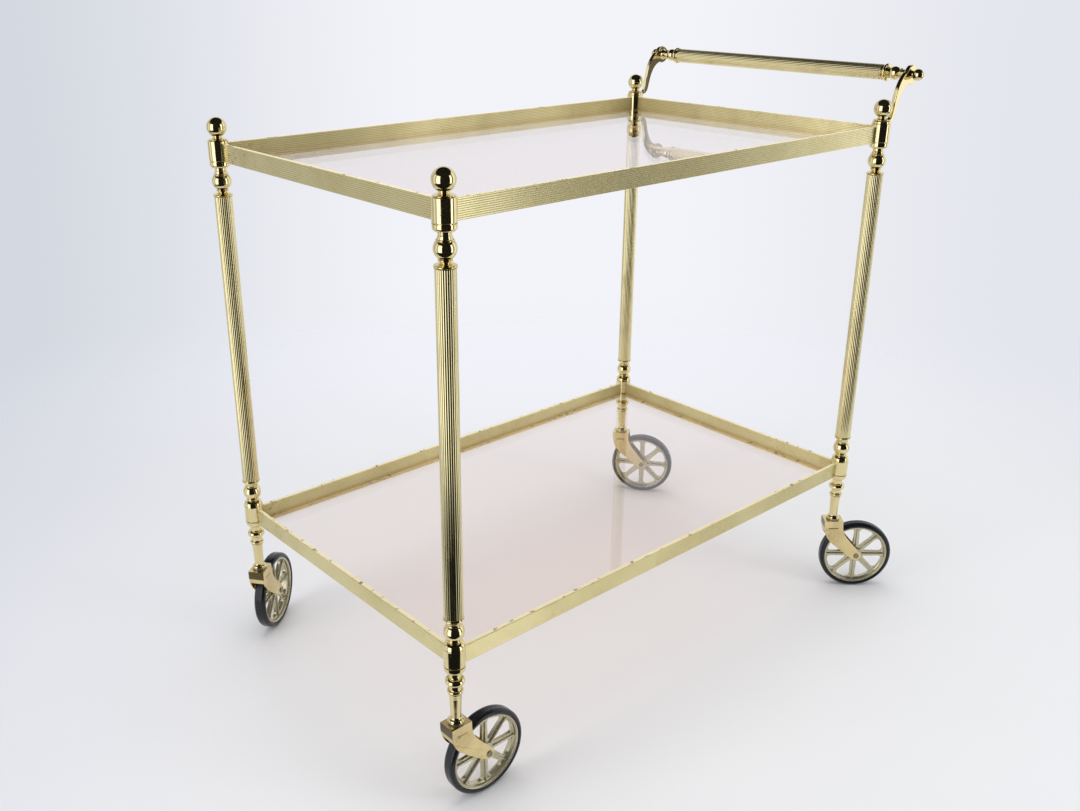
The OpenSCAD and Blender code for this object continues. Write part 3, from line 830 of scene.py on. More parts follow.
    @classmethod
    def follow(cls, profile: Sequence[Point], radius: float) -> float:
        """Draws the selected ring on along a profile, and returns its last radius.

        Args:
            profile: (radius, height) points, from the ring on.
            radius: The ring's radius.

        Returns:
            The radius of the last ring.
        """
        height = profile[0][1]
        for wanted, level in profile[1:]:
            wanted = max(wanted, cls.core)
            cls.extrude(0, 0, level - height)
            cls.resize(wanted / radius, wanted / radius, level)
            radius, height = wanted, level
        return radius

    @classmethod
    def lathe(cls, name: str, profile: Sequence[Point], steps: int = 96) -> Piece:
        """Turns a profile about Z.

        Args:
            name: The piece's name.
            profile: (radius, height) points from one end to the other.
            steps: How many sides the turning has.

        Returns:
            A closed piece of rings, one for each point.
        """
        profile = held(profile)
        radius, height = profile[0]
        first = max(radius, 1.0)
        piece = cls.circle(name, steps, first, height)
        if radius < cls.tiny:
            cls.resize(cls.core, cls.core, height)
            first = cls.core
        if cls.follow(profile, first) > cls.tiny:
            bpy.ops.mesh.edge_face_add()
        if radius > cls.tiny:
            cls.cap(piece, steps)
        return cls.close(piece, 32.0, 2e-6)

    @classmethod
    def ring(cls, name: str, profile: Sequence[Point], steps: int) -> Piece:
        """Turns a closed profile about Z into a ring.

        Args:
            name: The piece's name.
            profile: (radius, height) points.
            steps: How many sides it has.

        Returns:
            The ring.
        """
        profile = held(profile)
        piece = cls.circle(name, steps, *profile[0])
        cls.follow([*profile, profile[0]], profile[0][0])
        return cls.close(piece, 32.0, 2e-6)

    @classmethod
    def outline(cls, name: str, points: Sequence[Point], depth: float,
                plane: Matrix = Matrix.Identity(4)) -> Piece:
        """Draws a flat outline point by point and extrudes it.

        Args:
            name: The piece's name.
            points: The outline's corners in its own plane.
            depth: How far it is extruded, along the plane's Z.
            plane: Where the outline's plane lies, in metres.

        Returns:
            A closed prism.
        """
        cls.clear()
        first_x, first_y = points[0]
        bpy.ops.mesh.primitive_plane_add(size=MM, location=(first_x * MM, first_y * MM, 0))
        piece = cls.start(name)
        cls.edit()
        cls.every()
        bpy.ops.mesh.merge(type="CENTER")
        for (ax, ay), (bx, by) in zip(points, points[1:]):
            cls.extrude(bx - ax, by - ay, 0)
        cls.every()
        bpy.ops.mesh.edge_face_add()
        cls.extrude(0, 0, depth)
        cls.close(piece, 32.0)
        return cls.move(piece, plane)


def upright(x: float, y: float, z: float = 0.0) -> Matrix:
    """Returns the turn that stands a flat piece up along X and Z, at a place in millimetres."""
    return Matrix.Translation((x * MM, y * MM, z * MM)) @ Matrix.Rotation(math.pi / 2, 4, "X")


def arc(centre: Point, radius: float, start: float, end: float, steps: int) -> list[Point]:
    """Returns points along an arc, with its angles in degrees."""
    turns = [math.radians(start + (end - start) * i / steps) for i in range(steps + 1)]
    return [(centre[0] + radius * math.cos(t), centre[1] + radius * math.sin(t)) for t in turns]


def flowing(points: Sequence[Point]) -> list[Point]:
    """Rounds the corners of an open line by cutting them twice.

    Args:
        points: The line's corners.

    Returns:
        The rounded line.
    """
    line = list(points)
    for _ in range(2):
        cut = [line[0]]
        for (ax, ay), (bx, by) in zip(line, line[1:]):
            cut += [(ax * 0.75 + bx * 0.25, ay * 0.75 + by * 0.25),
                    (ax * 0.25 + bx * 0.75, ay * 0.25 + by * 0.75)]
        line = cut + [line[-1]]
    return line


def ball(centre_z: float, radius: float, low_r: float, high_r: float,
         steps: int = 28) -> list[Point]:
    """Returns a ball's profile from the neck of radius low_r up to the neck of radius high_r."""
    start, end = -math.degrees(math.acos(low_r / radius)), math.degrees(math.acos(high_r / radius))
    return arc((0.0, centre_z), radius, start, end, steps)


def held(profile: Sequence[Point], reach: float = 0.25) -> list[Point]:
    """Adds a ring close to both ends of each long run, so that its shading stays even.

    Args:
        profile: (radius, height) points.
        reach: How far from an end the ring lies.

    Returns:
        The profile with its extra points.
    """
    points = [profile[0]]
    for before, after in zip(profile, profile[1:]):
        length = math.dist(before, after)
        if length > 4 * reach:
            points += [(before[0] + (after[0] - before[0]) * part,
                        before[1] + (after[1] - before[1]) * part)
                       for part in (reach / length, 1 - reach / length)]
        points.append(after)
    return points


def roll(radius: float, low: float, high: float, steps: int = 8) -> list[Point]:
    """Returns a half-round bead's profile, whose rim stands at radius."""
    half = (high - low) / 2
    return arc((radius - half, low + half), half, -90, 90, steps)


def sweep(start: Point, end: Point, hollow: bool, steps: int = 8) -> list[Point]:
    """Returns a quarter-round between two profile points, hollow (a cove) or full.

    Args:
        start: Where it begins.
        end: Where it ends.
        hollow: Whether it is a cove.
        steps: How many straight runs it gets.

    Returns:
        Its points, with both ends.
    """
    points = []
    for i in range(steps + 1):
        t = math.radians(90 * i / steps)
        along, across = (1 - math.cos(t), math.sin(t)) if hollow else (math.sin(t), 1 - math.cos(t))
        points.append((start[0] + (end[0] - start[0]) * across,
                       start[1] + (end[1] - start[1]) * along))
    return points


# ---- Legs ----------------------------------------------------------------


@dataclass
class LegStack:
    """The stack of turned pieces and the reeded tube at each corner, from finial to stem."""

    post_r: float = 11.6
    ball_r: float = 11.0
    finial_r: float = 11.2
    flange_r: float = 11.0
    leg_r: float = 10.0
    reeds: int = 24
    reed_depth: float = 0.34
    neck_r: float = 4.7
    skirt_h: float = 8.4
    upper_neck: float = 2.6
    lower_neck: float = 6.2

    @staticmethod
    def level(node: str, top: bool = False) -> float:
        """Returns a node's lowest or highest level, in millimetres."""
        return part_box(node)[1 if top else 0].z / MM

    def finial(self) -> Piece:
        """Makes the ball finial, standing on its foot at the near corner.

        Returns:
            The finial.
        """
        foot, top = self.level("near_finial"), self.level("near_finial", True)
        centre = top - self.finial_r
        profile = [(4.0, foot), (9.4, foot)]
        profile += roll(10.2, foot + 0.05, foot + 1.5, 6)
        profile += sweep((9.0, foot + 1.6), (self.neck_r, foot + 4.6), True, 10)
        profile += ball(centre, self.finial_r, self.neck_r + 0.3, 0.0, 40)
        return Bench.lathe("finial_pattern", profile)

    def post(self, node: str, neck: float) -> Piece:
        """Makes a plain post over its neck and skirt, from the neck's foot to the post's top.

        Args:
            node: The near corner's node that gives its levels.
            neck: The height of its neck.

        Returns:
            The post.
        """
        low, high = self.level(node), self.level(node, True)
        start = low + neck + self.skirt_h
        profile = [(2.0, low), (6.4, low), (6.7, low + neck - 0.2)]
        profile += arc((7.4, low + neck + 4.0), 4.0, -92, 0, 14)
        profile += [(11.4, start - 1.2), (10.1, start - 1.0), (10.1, start - 0.12), (11.3, start)]
        profile += arc((self.post_r - 0.35, start + 0.4), 0.35, -60, 0, 3)
        profile += arc((self.post_r - 0.5, high - 0.5), 0.5, 0, 90, 5)
        profile += [(2.0, high)]
        return Bench.lathe(f"{node}_pattern", profile)

    def upper_turning(self) -> Piece:
        """Makes the turned piece between leg and upper post.

        Returns:
            The turned piece.
        """
        low, top = self.level("upper_turnings"), self.level("upper_turnings", True)
        centre = low + 17.2
        profile = [(3.5, low), (10.3, low), (self.flange_r - 0.2, low + 0.4)]
        profile += roll(self.flange_r, low + 0.7, low + 3.0, 8)
        profile += [(8.8, low + 3.3)]
        profile += sweep((8.4, low + 3.5), (self.neck_r, low + 5.6), True, 6)
        profile += roll(6.9, low + 5.9, low + 7.6, 8)
        profile += ball(centre, self.ball_r, 6.6, 8.7, 30)
        profile += [(8.5, centre + 6.9)]
        profile += roll(8.6, centre + 7.1, centre + 8.5, 6)
        profile += [(7.7, centre + 8.7), (7.2, centre + 10.0),
                    (6.6, centre + 11.6), (6.3, top - 0.3), (6.0, top),
                    (2.0, top)]
        return Bench.lathe("upper_turning_pattern", profile)

    def lower_turning(self) -> Piece:
        """Makes the turned piece between lower post and leg.

        Returns:
            The turned piece.
        """
        low, top = self.level("lower_turnings"), self.level("lower_turnings", True)
        centre = low + 18.6
        profile = [(3.0, low), (11.0, low), (11.3, low + 0.3)]
        profile += [(11.2, low + 1.6)]
        profile += arc((5.9, low + 1.8), 5.2, 4, 62, 12)
        profile += [(8.0, low + 6.7)]
        profile += sweep((7.7, low + 6.9), (6.0, low + 7.9), True, 4)
        profile += roll(7.8, low + 8.0, low + 9.8, 6)
        profile += ball(centre, self.ball_r, 6.8, 7.8, 30)
        profile += roll(8.3, centre + 7.9, centre + 9.7, 6)
        profile += sweep((7.6, centre + 9.9), (8.8, centre + 12.6), False, 5)
        profile += [(9.6, top - 3.2)]
        profile += roll(self.flange_r + 0.1, top - 3.0, top - 0.6, 8)
        profile += [(10.3, top - 0.2), (10.2, top), (3.5, top)]
        return Bench.lathe("lower_turning_pattern", profile)

    def stem(self) -> Piece:
        """Makes the caster stem: two discs, a slim taper and a washer foot.

        Returns:
            The stem.
        """
        top = self.level("near_low_post")
        low = self.level("swivel_races", True)
        disc, small = top - 5.3, top - 17.2
        profile = [(3.0, low)] + roll(9.2, low, low + 2.1, 8)
        profile += [(8.4, low + 2.2), (7.8, low + 3.6)]
        profile += sweep((7.4, low + 3.9), (5.6, low + 6.4), True, 8)
        profile += [(5.8, low + 14), (6.5, small - 8.6)]
        profile += sweep((6.7, small - 7.2), (7.7, small - 3.4), False, 6)
        profile += [(7.8, small - 2.3)]
        profile += roll(8.7, small - 2.1, small + 1.9, 12)
        profile += [(6.4, small + 2.5), (6.3, disc - 4.9)]
        profile += roll(10.6, disc - 4.4, disc + 4.4, 20)
        profile += [(6.5, disc + 4.9), (6.4, top), (2.0, top)]
        return Bench.lathe("stem_pattern", profile)

    def leg(self) -> Piece:
        """Makes the reeded tube: a fluted ring drawn up to the leg's length."""
        low, top = self.level("near_leg"), self.level("near_leg", True)
        return Reeding(self.reeds, self.leg_r, self.reed_depth).tube("leg_pattern", low, top)

    def build(self, palette: Palette) -> None:
        """Builds one pattern of each piece and sets a copy at every corner.

        Args:
            palette: The finishes.
        """
        patterns = {"post": self.post("near_post", self.upper_neck),
                    "low_post": self.post("near_low_post", self.lower_neck),
                    "stem": self.stem(), "leg": self.leg(), "finial": self.finial()}
        turnings = {"upper_turnings": self.upper_turning(), "lower_turnings": self.lower_turning()}
        for corner in Corner:
            for kind, pattern in patterns.items():
                node = f"{corner.label}_{kind}"
                lift = 0.0
                if kind == "finial":
                    lift = (self.level(node) - self.level("near_finial")) * MM
                place = Matrix.Translation(corner.axis + Vector((0, 0, lift)))
                slot = "reeded_brass" if kind == "leg" else "polished_brass"
                palette.dress(Bench.copy(pattern, f"{node}_brass", place), slot, "trolley", [node])
            for node, pattern in turnings.items():
                place = Matrix.Translation(corner.axis)
                twin = Bench.copy(pattern, f"{corner.label}_{node[:-1]}", place)
                palette.dress(twin, "polished_brass", "trolley", [node])
        Bench.drop(*patterns.values(), *turnings.values())


@dataclass
class Reeding:
    """Rounded reeds round a tube."""

    count: int
    radius: float
    depth: float
    facets: int = 8
    lengths: int = 12

    def ring_factor(self, step: int) -> float:
        """Returns how much of the radius a point of one reed keeps."""
        across = abs(2 * step / self.facets - 1)
        return 1.0 - self.depth / self.radius * across ** 2.4

    def tube(self, name: str, low: float, high: float) -> Piece:
        """Makes the reeded tube about Z.

        Args:
            name: The piece's name.
            low: The level of its foot.
            high: The level of its top.

        Returns:
            A closed reeded bar; the rod inside it never shows.
        """
        points = self.count * self.facets
        piece = Bench.circle(name, points, self.radius, low)
        for step in range(self.facets):
            factor = self.ring_factor(step)
            if factor < 1.0:
                Bench.pick(piece, lambda v: v.index % self.facets == step, "verts")
                Bench.resize(factor, factor, low)
        Bench.every()
        for _ in range(self.lengths):
            Bench.extrude(0, 0, (high - low) / self.lengths)
        bpy.ops.mesh.edge_face_add()
        Bench.cap(piece, points)
        return Bench.close(piece, 50.0)


# ---- Casters -------------------------------------------------------------


@dataclass
class Caster:
    """Fork, axle, spoked wheel centre and tyre, built in the caster's own frame.

    X runs from the swivel's pin towards the wheel; Z is up from the floor.
    """

    trail: float = 36.7
    axle_z: float = 50.0
    plate_z: float = 105.0
    fork_half: float = 10.3
    fork_len: float = 26.0
    sheet: float = 1.6
    front_drop: float = 18.0
    bend_r: float = 2.2
    rim_r: float = 44.6
    rim_in_r: float = 39.6
    rim_half: float = 6.8
    web_half: float = 2.0
    rib_half: float = 1.3
    rib_top: float = 4.0
    spokes: int = 8
    hub_r: float = 9.5
    tyre_r: float = 50.0
    tyre_half: float = 7.8
    tyre_round: float = 4.6

    def arm_outline(self) -> list[Point]:
        """Returns the fork's side view as (x, z) points, clockwise from the top front.

        Returns:
            The outline's points.
        """
        half = self.fork_len / 2
        top = self.plate_z
        end = (self.trail, self.axle_z)
        back = [(half, top - 1), (half + 0.3, top - 8),
                (half + 1.2, top - 14), (half + 2.6, top - 18.5),
                (half + 5.6, top - 24), (half + 11.6, top - 31.4),
                (half + 20.0, top - 40.6), (half + 26.4, top - 47.4)]
        front = [(24.0, top - 54.6), (15.6, top - 47.6), (5.0, top - 39.2), (-2.6, top - 32.4),
                 (-7.2, top - 26.6), (-10.4, top - 20.4),
                 (-12.2, top - 13.6), (-half, top - 7.6)]
        points = [(-half, top), (half, top), *flowing(back)]
        return points + arc(end, 6.5, 42, -132, 16) + flowing(front)

    def fork(self) -> Piece:
        """Makes the pressed fork: a closed hood, opened at the back and below, then thickened.

        Returns:
            The fork.
        """
        width = 2 * self.fork_half
        piece = Bench.outline("fork_pattern", self.arm_outline(), width, upright(0, self.fork_half))
        Bench.take(piece)
        Bench.edit("FACE")
        front_low = (self.plate_z - self.front_drop) * MM

        def opened(face: Face) -> bool:
            """Says whether a face of the closed hood is cut away."""
            if abs(face.normal.y) > 0.5 or face.normal.z > 0.9:
                return False
            return not (face.normal.x < -0.5 and face.center.z > front_low and face.center.x < 0)

        Bench.pick(piece, opened, "faces")
        bpy.ops.mesh.delete(type="FACE")
        top, half = self.plate_z * MM, self.fork_len / 2 * MM

        def folded(edge: bpy.types.MeshEdge) -> bool:
            """Says whether an edge is one of the hood's folds.

            Args:
                edge: The edge.

            Returns:
                True on a fold.
            """
            a, b = (piece.data.vertices[i].co for i in edge.vertices)
            on_top = a.z > top - 1e-6 and b.z > top - 1e-6
            along_top = on_top and abs(a.y - b.y) < 1e-6 and abs(a.y) > 1e-6
            across = on_top and abs(a.y - b.y) > 1e-3 and a.x < 0
            down = (not on_top and abs(a.y - b.y) < 1e-6 and a.x < 0 and b.x < 0
                    and min(a.z, b.z) > front_low - 3 * MM)
            return along_top or across or down

        bpy.ops.mesh.select_mode(type="EDGE")
        Bench.pick(piece, folded, "edges")
        bpy.ops.mesh.bevel(offset=self.bend_r * MM, segments=5, profile=0.5, clamp_overlap=True)
        Bench.mode("OBJECT")
        Bench.modify(piece, "SOLIDIFY", thickness=self.sheet * MM, offset=-1.0,
                     use_even_offset=True)
        Bench.ease(piece, 0.25, 2, 50)
        self._press_marks(piece)
        Bench.close(piece, 40.0)
        # Marks the fork's front wall for the finish's painted shade.
        return Bench.paint(piece, "dusk", lambda face: face.normal.x < -0.75
                           and face.center.x < -half + 0.6 * MM)

    def _press_marks(self, piece: Piece) -> None:
        """Presses a short slot mark into both arms near the top.

        Args:
            piece: The fork.
        """
        for side in (-1, 1):
            Bench.clear()
            bpy.ops.mesh.primitive_cylinder_add(
                vertices=16, radius=0.75 * MM, depth=13 * MM, rotation=(0, math.pi / 2, 0),
                location=(0, side * (self.fork_half + 0.25) * MM, (self.plate_z - 11) * MM))
            Bench.cut(piece, Bench.start("slot_mark"))

    def axle(self) -> Piece:
        """Makes the riveted axle with a dished head on each side.

        Returns:
            The axle.
        """
        head, pin, out = 3.8, 3.0, self.fork_half
        half = [(pin, 0.0), (pin, out), (head - 0.3, out)]
        half += arc((head - 0.35, out + 0.7), 0.35, -50, 90, 5)
        half += [(2.6, out + 1.0), (2.0, out + 0.55), (0.0, out + 0.45)]
        profile = [(r, -z) for r, z in reversed(half[1:])] + half[1:]
        return self._lay(Bench.lathe("axle_pattern", profile, 40))

    def _lay(self, piece: Piece) -> Piece:
        """Lays a piece turned about Z on the axle's line."""
        return Bench.move(piece, upright(self.trail, 0, self.axle_z))

    def _rim(self) -> Piece:
        """Makes the stepped rim as a turned ring.

        Returns:
            The rim.
        """
        half = [(self.rim_in_r, 0.0), (self.rim_in_r, self.web_half),
                (self.rim_in_r + 0.2, self.web_half + 0.3),
                (self.rim_in_r + 1.2, self.web_half + 1.0),
                (self.rim_in_r + 1.5, self.rim_half - 1.9)]
        half += arc((self.rim_in_r + 2.1, self.rim_half - 1.5), 0.5, 190, 90, 4)
        half += [(self.rim_in_r + 2.7, self.rim_half - 0.9)]
        half += arc((self.rim_r - 1.3, self.rim_half - 0.9), 0.9, 130, 20, 7)
        half += [(self.rim_r, self.rim_half - 1.4), (self.rim_r, 0.0)]
        profile = half + [(r, -z) for r, z in reversed(half[1:-1])]
        return Bench.ring("rim", profile, 128)

    def _window_side(self) -> list[Point]:
        """Returns one side of a teardrop window, from its tip at the hub out to the rim.

        Returns:
            The side's points.
        """
        tip_x, tip_r, corner_r = self.hub_r + 5.2, 1.5, 5.0
        half_angle = math.pi / self.spokes
        out = self.rim_in_r - corner_r
        spread = math.asin((out * math.sin(half_angle) - 3.3 - corner_r) / out)
        corner = (out * math.cos(spread), out * math.sin(spread))
        lean = math.degrees(math.atan2(corner[1], corner[0] - tip_x))
        reach = math.dist(corner, (tip_x, 0))
        lean += math.degrees(math.asin((corner_r - tip_r) / reach))
        side = arc((tip_x, 0), tip_r, 180, 90 + lean, 5)
        side += arc(corner, corner_r, 90 + lean, math.degrees(spread), 8)
        return side + arc((0, 0), self.rim_in_r, math.degrees(spread) * 0.8, 0, 4)

    def _spoke(self) -> Piece:
        """Makes one spoke's share of the web, from window middle to window middle.

        Returns:
            The share, open where it meets its neighbours.
        """
        half = math.pi / self.spokes
        inner, outer = 6.0, self.rim_in_r + 1.0
        side = [(x * math.cos(half) + y * math.sin(half), x * math.sin(half) - y * math.cos(half))
                for x, y in self._window_side()]
        spread = math.degrees(half)
        points = [(inner * math.cos(half), inner * math.sin(half)), *side]
        points += arc((0, 0), outer, spread, -spread, 16)
        points += [(x, -y) for x, y in reversed(side)]
        points += arc((0, 0), inner, -spread, spread, 4)[:-1]
        lift = Matrix.Translation((0, 0, -self.web_half * MM))
        spoke = Bench.outline("spoke", points, 2 * self.web_half, lift)
        Bench.take(spoke)
        Bench.edit("FACE")

        def seam(face: Face) -> bool:
            """Says whether a face is where two neighbouring shares meet."""
            angle = abs(math.atan2(face.center.y, face.center.x))
            return abs(face.normal.z) < 0.5 and abs(angle - half) < 1e-5

        Bench.pick(spoke, seam, "faces")
        bpy.ops.mesh.delete(type="FACE")
        Bench.mode("OBJECT")
        return spoke

    def _web(self) -> Piece:
        """Makes the spoked plate from eight equal shares, with its window edges eased."""
        shares = Bench.spin(self._spoke(), self.spokes)
        web = Bench.close(Bench.join(shares, "web"), 35.0, 5e-6)
        return Bench.close(Bench.ease(web, 0.4, 3, 50), 35.0)

    def _rib(self) -> Piece:
        """Makes one raised rib along a spoke, drawn narrower at its top.

        Returns:
            The rib.
        """
        length = self.rim_in_r + 1.0
        Bench.clear()
        bpy.ops.mesh.primitive_cube_add(size=MM, location=(length / 2 * MM, 0, 0),
            scale=(length, 2 * self.rib_half, 2 * self.rib_top))
        rib = Bench.start("rib")
        Bench.edit("FACE")
        for side in (-1, 1):
            Bench.pick(rib, lambda f: f.normal.z * side > 0.9, "faces")
            Bench.resize(1, 0.62, side * self.rib_top)
        Bench.mode("OBJECT")
        return Bench.close(Bench.ease(rib, 0.45, 3, 40), 40.0)

    def _hub(self) -> Piece:
        """Makes the hub: a wide boss with a narrower spigot on each side.

        Returns:
            The hub.
        """
        half = [(self.hub_r + 0.6, 0.0), (self.hub_r + 0.2, 3.0)]
        half += arc((self.hub_r - 1.0, 3.8), 0.9, 0, 80, 5)
        half += [(6.6, 5.1), (6.3, 5.5), (6.2, 7.7)]
        half += [(5.9, 8.2), (3.05, 8.25), (3.05, 0.0)]
        profile = half[:-1] + [(r, -z) for r, z in reversed(half[1:-1])]
        return Bench.ring("hub", profile, 64)

    def wheel(self) -> Piece:
        """Makes the wheel centre from its rim, web, ribs and hub.

        Returns:
            The wheel centre.
        """
        ribs = Bench.spin(self._rib(), self.spokes)
        piece = Bench.join([self._web(), self._rim(), self._hub(), *ribs], "wheel_pattern")
        Bench.take(piece)
        bpy.ops.object.shade_smooth_by_angle(angle=math.radians(35))
        return self._lay(piece)

    def tyre(self) -> Piece:
        """Makes the tyre: round shoulders, a slight crown and a moulding line.

        Returns:
            The tyre.
        """
        half = [(self.rim_r - 0.3, 0.0), (self.rim_r - 0.3, self.rim_half - 0.6),
                (self.rim_r - 0.1, self.rim_half + 0.3)]
        half += arc((self.tyre_r - self.tyre_round, self.tyre_half - self.tyre_round),
                    self.tyre_round, 82, 4, 12)
        half += [(self.tyre_r - 0.04, 1.6)]
        profile = half + [(r, -z) for r, z in reversed(half[1:])]
        return self._lay(Bench.ring("tyre_pattern", profile, 160))

    def build(self, palette: Palette) -> None:
        """Builds one caster and sets a copy at each corner, turned to its heading.

        Args:
            palette: The finishes.
        """
        parts = {"fork": (self.fork(), "satin_brass", "caster"),
                 "axle": (self.axle(), "rivet_steel", "caster"),
                 "wheel": (self.wheel(), "wheel_alloy", "roller"),
                 "tyre": (self.tyre(), "tyre_rubber", "roller")}
        for corner in Corner:
            place = Matrix.Translation(corner.axis) @ Matrix.Rotation(corner.heading, 4, "Z")
            for kind, (pattern, slot, body) in parts.items():
                twin = Bench.copy(pattern, f"{corner.label}_{kind}_shown", place)
                palette.dress(twin, slot, f"{corner.label}_{body}", [f"{corner.label}_{kind}"])
        Bench.drop(*[pattern for pattern, _, _ in parts.values()])


# ---- Trays ---------------------------------------------------------------


@dataclass
class Tray:
    """Four lined rails and the loose glass of one tray."""

    level: str
    height: float = 20.0
    thick: float = 5.5
    ledge: float = 7.0
    ledge_t: float = 1.2
    lines: int = 10
    groove_w: float = 0.6
    groove_depth: float = 0.2
    outside: float = 1.5

    @property
    def pitch(self) -> float:
        """The distance between two grooves."""
        return self.height / self.lines

    def section(self) -> list[Point]:
        """Returns the rail's section: outer face at x = 0, glass side at positive x.

        Returns:
            The section's points.
        """
        outer: list[Point] = []
        for i in range(self.lines):
            outer += [(depth, self.height - level) for depth, level in self.ribs(i, self.pitch)]
        outer.append((self.groove_depth, 0.0))
        inner_x = self.thick + self.ledge
        inner: list[Point] = [(inner_x, 0.0), (inner_x, self.ledge_t)]
        base = self.ledge_t
        inner.append((self.thick - self.groove_depth, base))
        inner_pitch = (self.height - base) / (self.lines - 1)
        for i in range(self.lines - 1):
            inner += [(self.thick - depth, base + level)
                      for depth, level in self.ribs(i, inner_pitch)[1:]]
        top = [(self.thick - 0.12, self.height - 0.55), (self.thick - 0.4, self.height - 0.15),
               (self.thick - 0.85, self.height), (0.85, self.height),
               (0.4, self.height - 0.12)]
        return outer[1:] + inner[:-1] + top

    def ribs(self, index: int, pitch: float) -> list[Point]:
        """Returns one rib as (depth, distance) points: a narrow groove, then a low crown.

        Args:
            index: Which rib it is, from the start.
            pitch: The distance between two grooves.

        Returns:
            The rib's points.
        """
        start, half = index * pitch, self.groove_w / 2
        crown = [(0.15, 0.02), (0.5, 0.0), (0.85, 0.02)]
        points = [(self.groove_depth, start), (0.05, start + half)]
        points += [(depth, start + half + share * (pitch - 2 * half))
                   for share, depth in crown]
        return points + [(0.05, start + pitch - half)]

    def rail(self, name: str, start: Vector, along: Vector, length: float, inward: Vector) -> Piece:
        """Draws one rail between two corners and mitres both ends.

        Args:
            name: The piece's name.
            start: The corner of the outer face's lower edge.
            along: The direction of the rail.
            length: Its length over the mitres.
            inward: The direction from its outer face to the glass.

        Returns:
            The rail, in place.
        """
        plane = Matrix.Identity(4)
        plane.col[0].xyz = inward
        plane.col[1].xyz = (0, 0, 1)
        plane.col[2].xyz = along
        plane.translation = start
        piece = Bench.outline(name, self.section(), length / MM, plane)
        for foot, toward in ((start, along), (start + along * length, -along)):
            Bench.take(piece)
            Bench.mode("EDIT")
            Bench.every()
            normal = (toward - inward).normalized()
            bpy.ops.mesh.bisect(plane_co=foot, plane_no=normal, use_fill=True, clear_inner=True)
            Bench.mode("OBJECT")
        Bench.close(piece, 50.0)
        Bench.paint(piece, "satin", lambda face: face.normal.dot(inward) > 0.5)
        # The top faces are marked for chips and for the finish's painted highlight.
        return Bench.paint(piece, "crest", lambda face: face.normal.z > 0.9)

    def rails(self, palette: Palette) -> None:
        """Builds the four rails.

        Args:
            palette: The finishes.
        """
        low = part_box(f"{self.level}_front_rail")[0].z
        near, far = Corner.NEAR.axis, Corner.FAR.axis
        outside = self.outside * MM
        x0, y0 = near.x - outside, near.y - outside
        x1, y1 = far.x + outside, far.y + outside
        sides = {
            "front": (Vector((x0, y0, low)), Vector((1, 0, 0)), x1 - x0, Vector((0, 1, 0))),
            "back": (Vector((x1, y1, low)), Vector((-1, 0, 0)), x1 - x0, Vector((0, -1, 0))),
            "left": (Vector((x0, y1, low)), Vector((0, -1, 0)), y1 - y0, Vector((1, 0, 0))),
            "right": (Vector((x1, y0, low)), Vector((0, 1, 0)), y1 - y0, Vector((-1, 0, 0))),
        }
        for side, (start, along, length, inward) in sides.items():
            node = f"{self.level}_{side}_rail"
            piece = self.rail(f"{node}_lined", start, along, length, inward)
            palette.dress(piece, "rail_brass", "trolley", [node])

    def glass(self, palette: Palette) -> None:
        """Makes the glass with ground edges and notched corners.

        Args:
            palette: The finishes.
        """
        low, high = (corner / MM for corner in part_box(f"{self.level}_glass"))
        near, far = Corner.NEAR.axis / MM, Corner.FAR.axis / MM
        notch = 13.1
        points: list[Point] = []
        corners = [(near.x, near.y, 1, 1), (far.x, near.y, -1, 1), (far.x, far.y, -1, -1),
                   (near.x, far.y, 1, -1)]
        for x, y, sx, sy in corners:
            edge_x, edge_y = (low.x if sx > 0 else high.x), (low.y if sy > 0 else high.y)
            first = math.degrees(math.acos(abs(edge_x - x) / notch))
            last = 90 - math.degrees(math.acos(abs(edge_y - y) / notch))
            bend = [(x + sx * px, y + sy * py) for px, py in arc((0, 0), notch, first, last, 8)]
            points += bend if sx * sy > 0 else bend[::-1]
        plane = Matrix.Translation((0, 0, low.z * MM))
        sheet = Bench.outline(f"{self.level}_glass_shelf", points, high.z - low.z, plane)
        Bench.close(Bench.ease(sheet, 0.5, 3, 60), 35.0)
        body = "top_shelf" if self.level == "top" else "low_shelf"
        palette.dress(sheet, "smoked_glass", body, [f"{self.level}_glass"])

    def build(self, palette: Palette) -> None:
        """Builds the rails and the glass."""
        self.rails(palette)
        self.glass(palette)


# ---- Handle --------------------------------------------------------------


